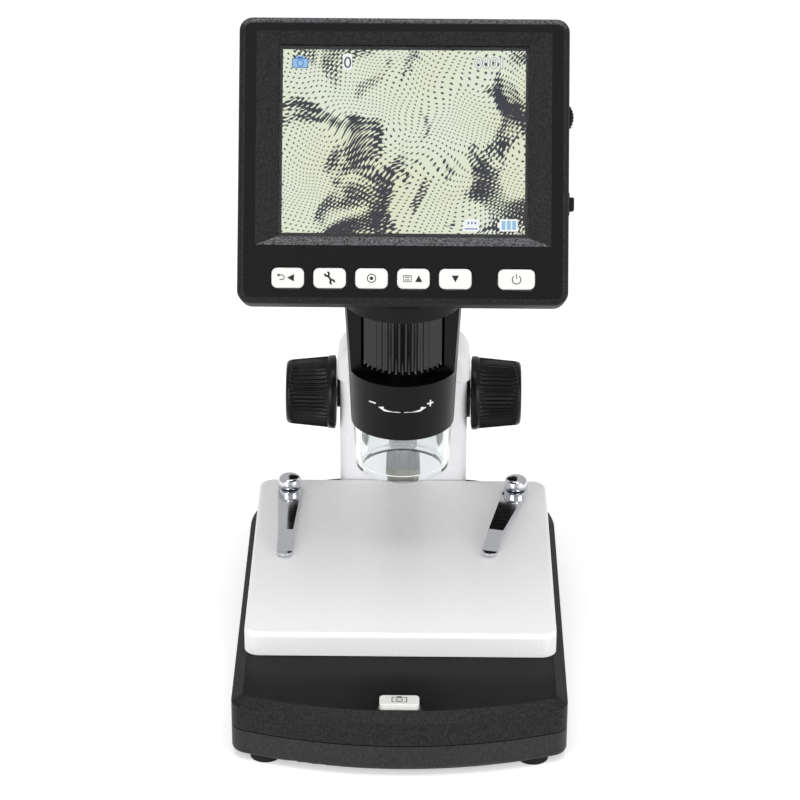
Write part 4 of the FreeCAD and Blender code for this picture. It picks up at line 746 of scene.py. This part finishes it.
def studio_floor():
    """Matt white paper. Camera, glossy and clear rays also see a white glow, so the ground stays white.

    Its fibres are drawn 3 mm apart, coarser than real ones, so that they show at all.
    """
    material, tree, shader, spot = surface("studio_paper", {
        "Base Color": linear("#e8e8e8"), "Roughness": 0.9, "Specular IOR Level": 0.1,
        "Emission Color": WHITE})
    ray = add(tree, "ShaderNodeLightPath").outputs
    direct = add(tree, "ShaderNodeMath", {"operation": "MAXIMUM"}, (
        ray["Is Camera Ray"], ray["Is Glossy Ray"]))
    seen = add(tree, "ShaderNodeMath", {"operation": "MAXIMUM"}, (direct, ray["Is Transmission Ray"]))
    glow = add(tree, "ShaderNodeMath", {"operation": "MULTIPLY"}, (seen, 0.4))
    fibre = add(tree, "ShaderNodeTexNoise", None, {"Vector": spot, "Scale": 1000 / 3.0})
    bump = add(tree, "ShaderNodeBump", None, {"Height": fibre, "Distance": 0.00001})
    feed(tree, shader, {"Emission Strength": glow, "Normal": bump})
    return material


ground = bmesh.new()
bmesh.ops.create_grid(ground, x_segments=4, y_segments=4, size=4.0)
paper = bpy.data.meshes.new("studio_floor")
ground.to_mesh(paper)
ground.free()
paper.materials.append(studio_floor())
floor = bpy.data.objects.new("studio_floor", paper)
bpy.context.scene.collection.objects.link(floor)


def studio_sky():
    """White to the camera and through clear pieces, and dimmer as a light and in reflections."""
    world = bpy.data.worlds.new("studio")
    bpy.context.scene.world = world
    world.use_nodes = True
    sky = world.node_tree
    sky.nodes.clear()
    ray = add(sky, "ShaderNodeLightPath").outputs
    seen = add(sky, "ShaderNodeMath", {"operation": "MAXIMUM"}, (
        ray["Is Camera Ray"], ray["Is Transmission Ray"]))
    plain = add(sky, "ShaderNodeMapRange", None, {"Value": seen, "To Min": 0.5, "To Max": 1.0})
    mirrored = add(sky, "ShaderNodeMath", {"operation": "MULTIPLY"}, (ray["Is Glossy Ray"], 0.55))
    level = add(sky, "ShaderNodeMath", {"operation": "MAXIMUM"}, (plain, mirrored))
    glow = add(sky, "ShaderNodeBackground", None, {"Color": WHITE, "Strength": level})
    add(sky, "ShaderNodeOutputWorld", None, {"Surface": glow})


def softbox(name, place, size, watts):
    """A square lamp that faces the object."""
    lamp = bpy.data.lights.new(name, "AREA")
    lamp.shape = "SQUARE"
    lamp.size = size
    lamp.energy = watts
    holder = bpy.data.objects.new(name, lamp)
    bpy.context.scene.collection.objects.link(holder)
    holder.location = place
    aim = Vector((0, 0, 0.08)) - Vector(place)
    holder.rotation_euler = aim.to_track_quat("-Z", "Y").to_euler()


def aim_camera(eye, yaw, fall, roll, focal_pixels):
    """Sets the camera that was fitted to the photograph, its angles in degrees."""
    yaw, fall, roll = (math.radians(angle) for angle in (yaw, fall, roll))
    ahead = Vector((math.sin(yaw) * math.cos(fall), math.cos(yaw) * math.cos(fall), -math.sin(fall)))
    level_right = Vector((math.cos(yaw), -math.sin(yaw), 0.0))
    level_up = level_right.cross(ahead)
    right = math.cos(roll) * level_right + math.sin(roll) * level_up
    up = math.cos(roll) * level_up - math.sin(roll) * level_right
    shot = bpy.data.cameras.new("view")
    shot.sensor_width = 36
    shot.lens = focal_pixels / PHOTO_PIXELS * shot.sensor_width
    shot.clip_start = 0.01
    camera = bpy.data.objects.new("view", shot)
    bpy.context.scene.collection.objects.link(camera)
    camera.matrix_world = Matrix.Translation(eye) @ Matrix((right, up, -ahead)).transposed().to_4x4()
    bpy.context.scene.camera = camera


studio_sky()
softbox("overhead", place=(0.0, -0.25, 1.1), size=0.8, watts=5.5)
softbox("left_front", place=(-0.7, -1.0, 0.4), size=0.7, watts=6.4)
softbox("right_front", place=(0.9, -0.8, 0.4), size=0.7, watts=5.6)
aim_camera(eye=mm(4.8, -789.5, 470.1), yaw=-0.4, fall=26.13, roll=0.28, focal_pixels=2973.1)
bpy.context.scene.view_settings.view_transform = "Standard"
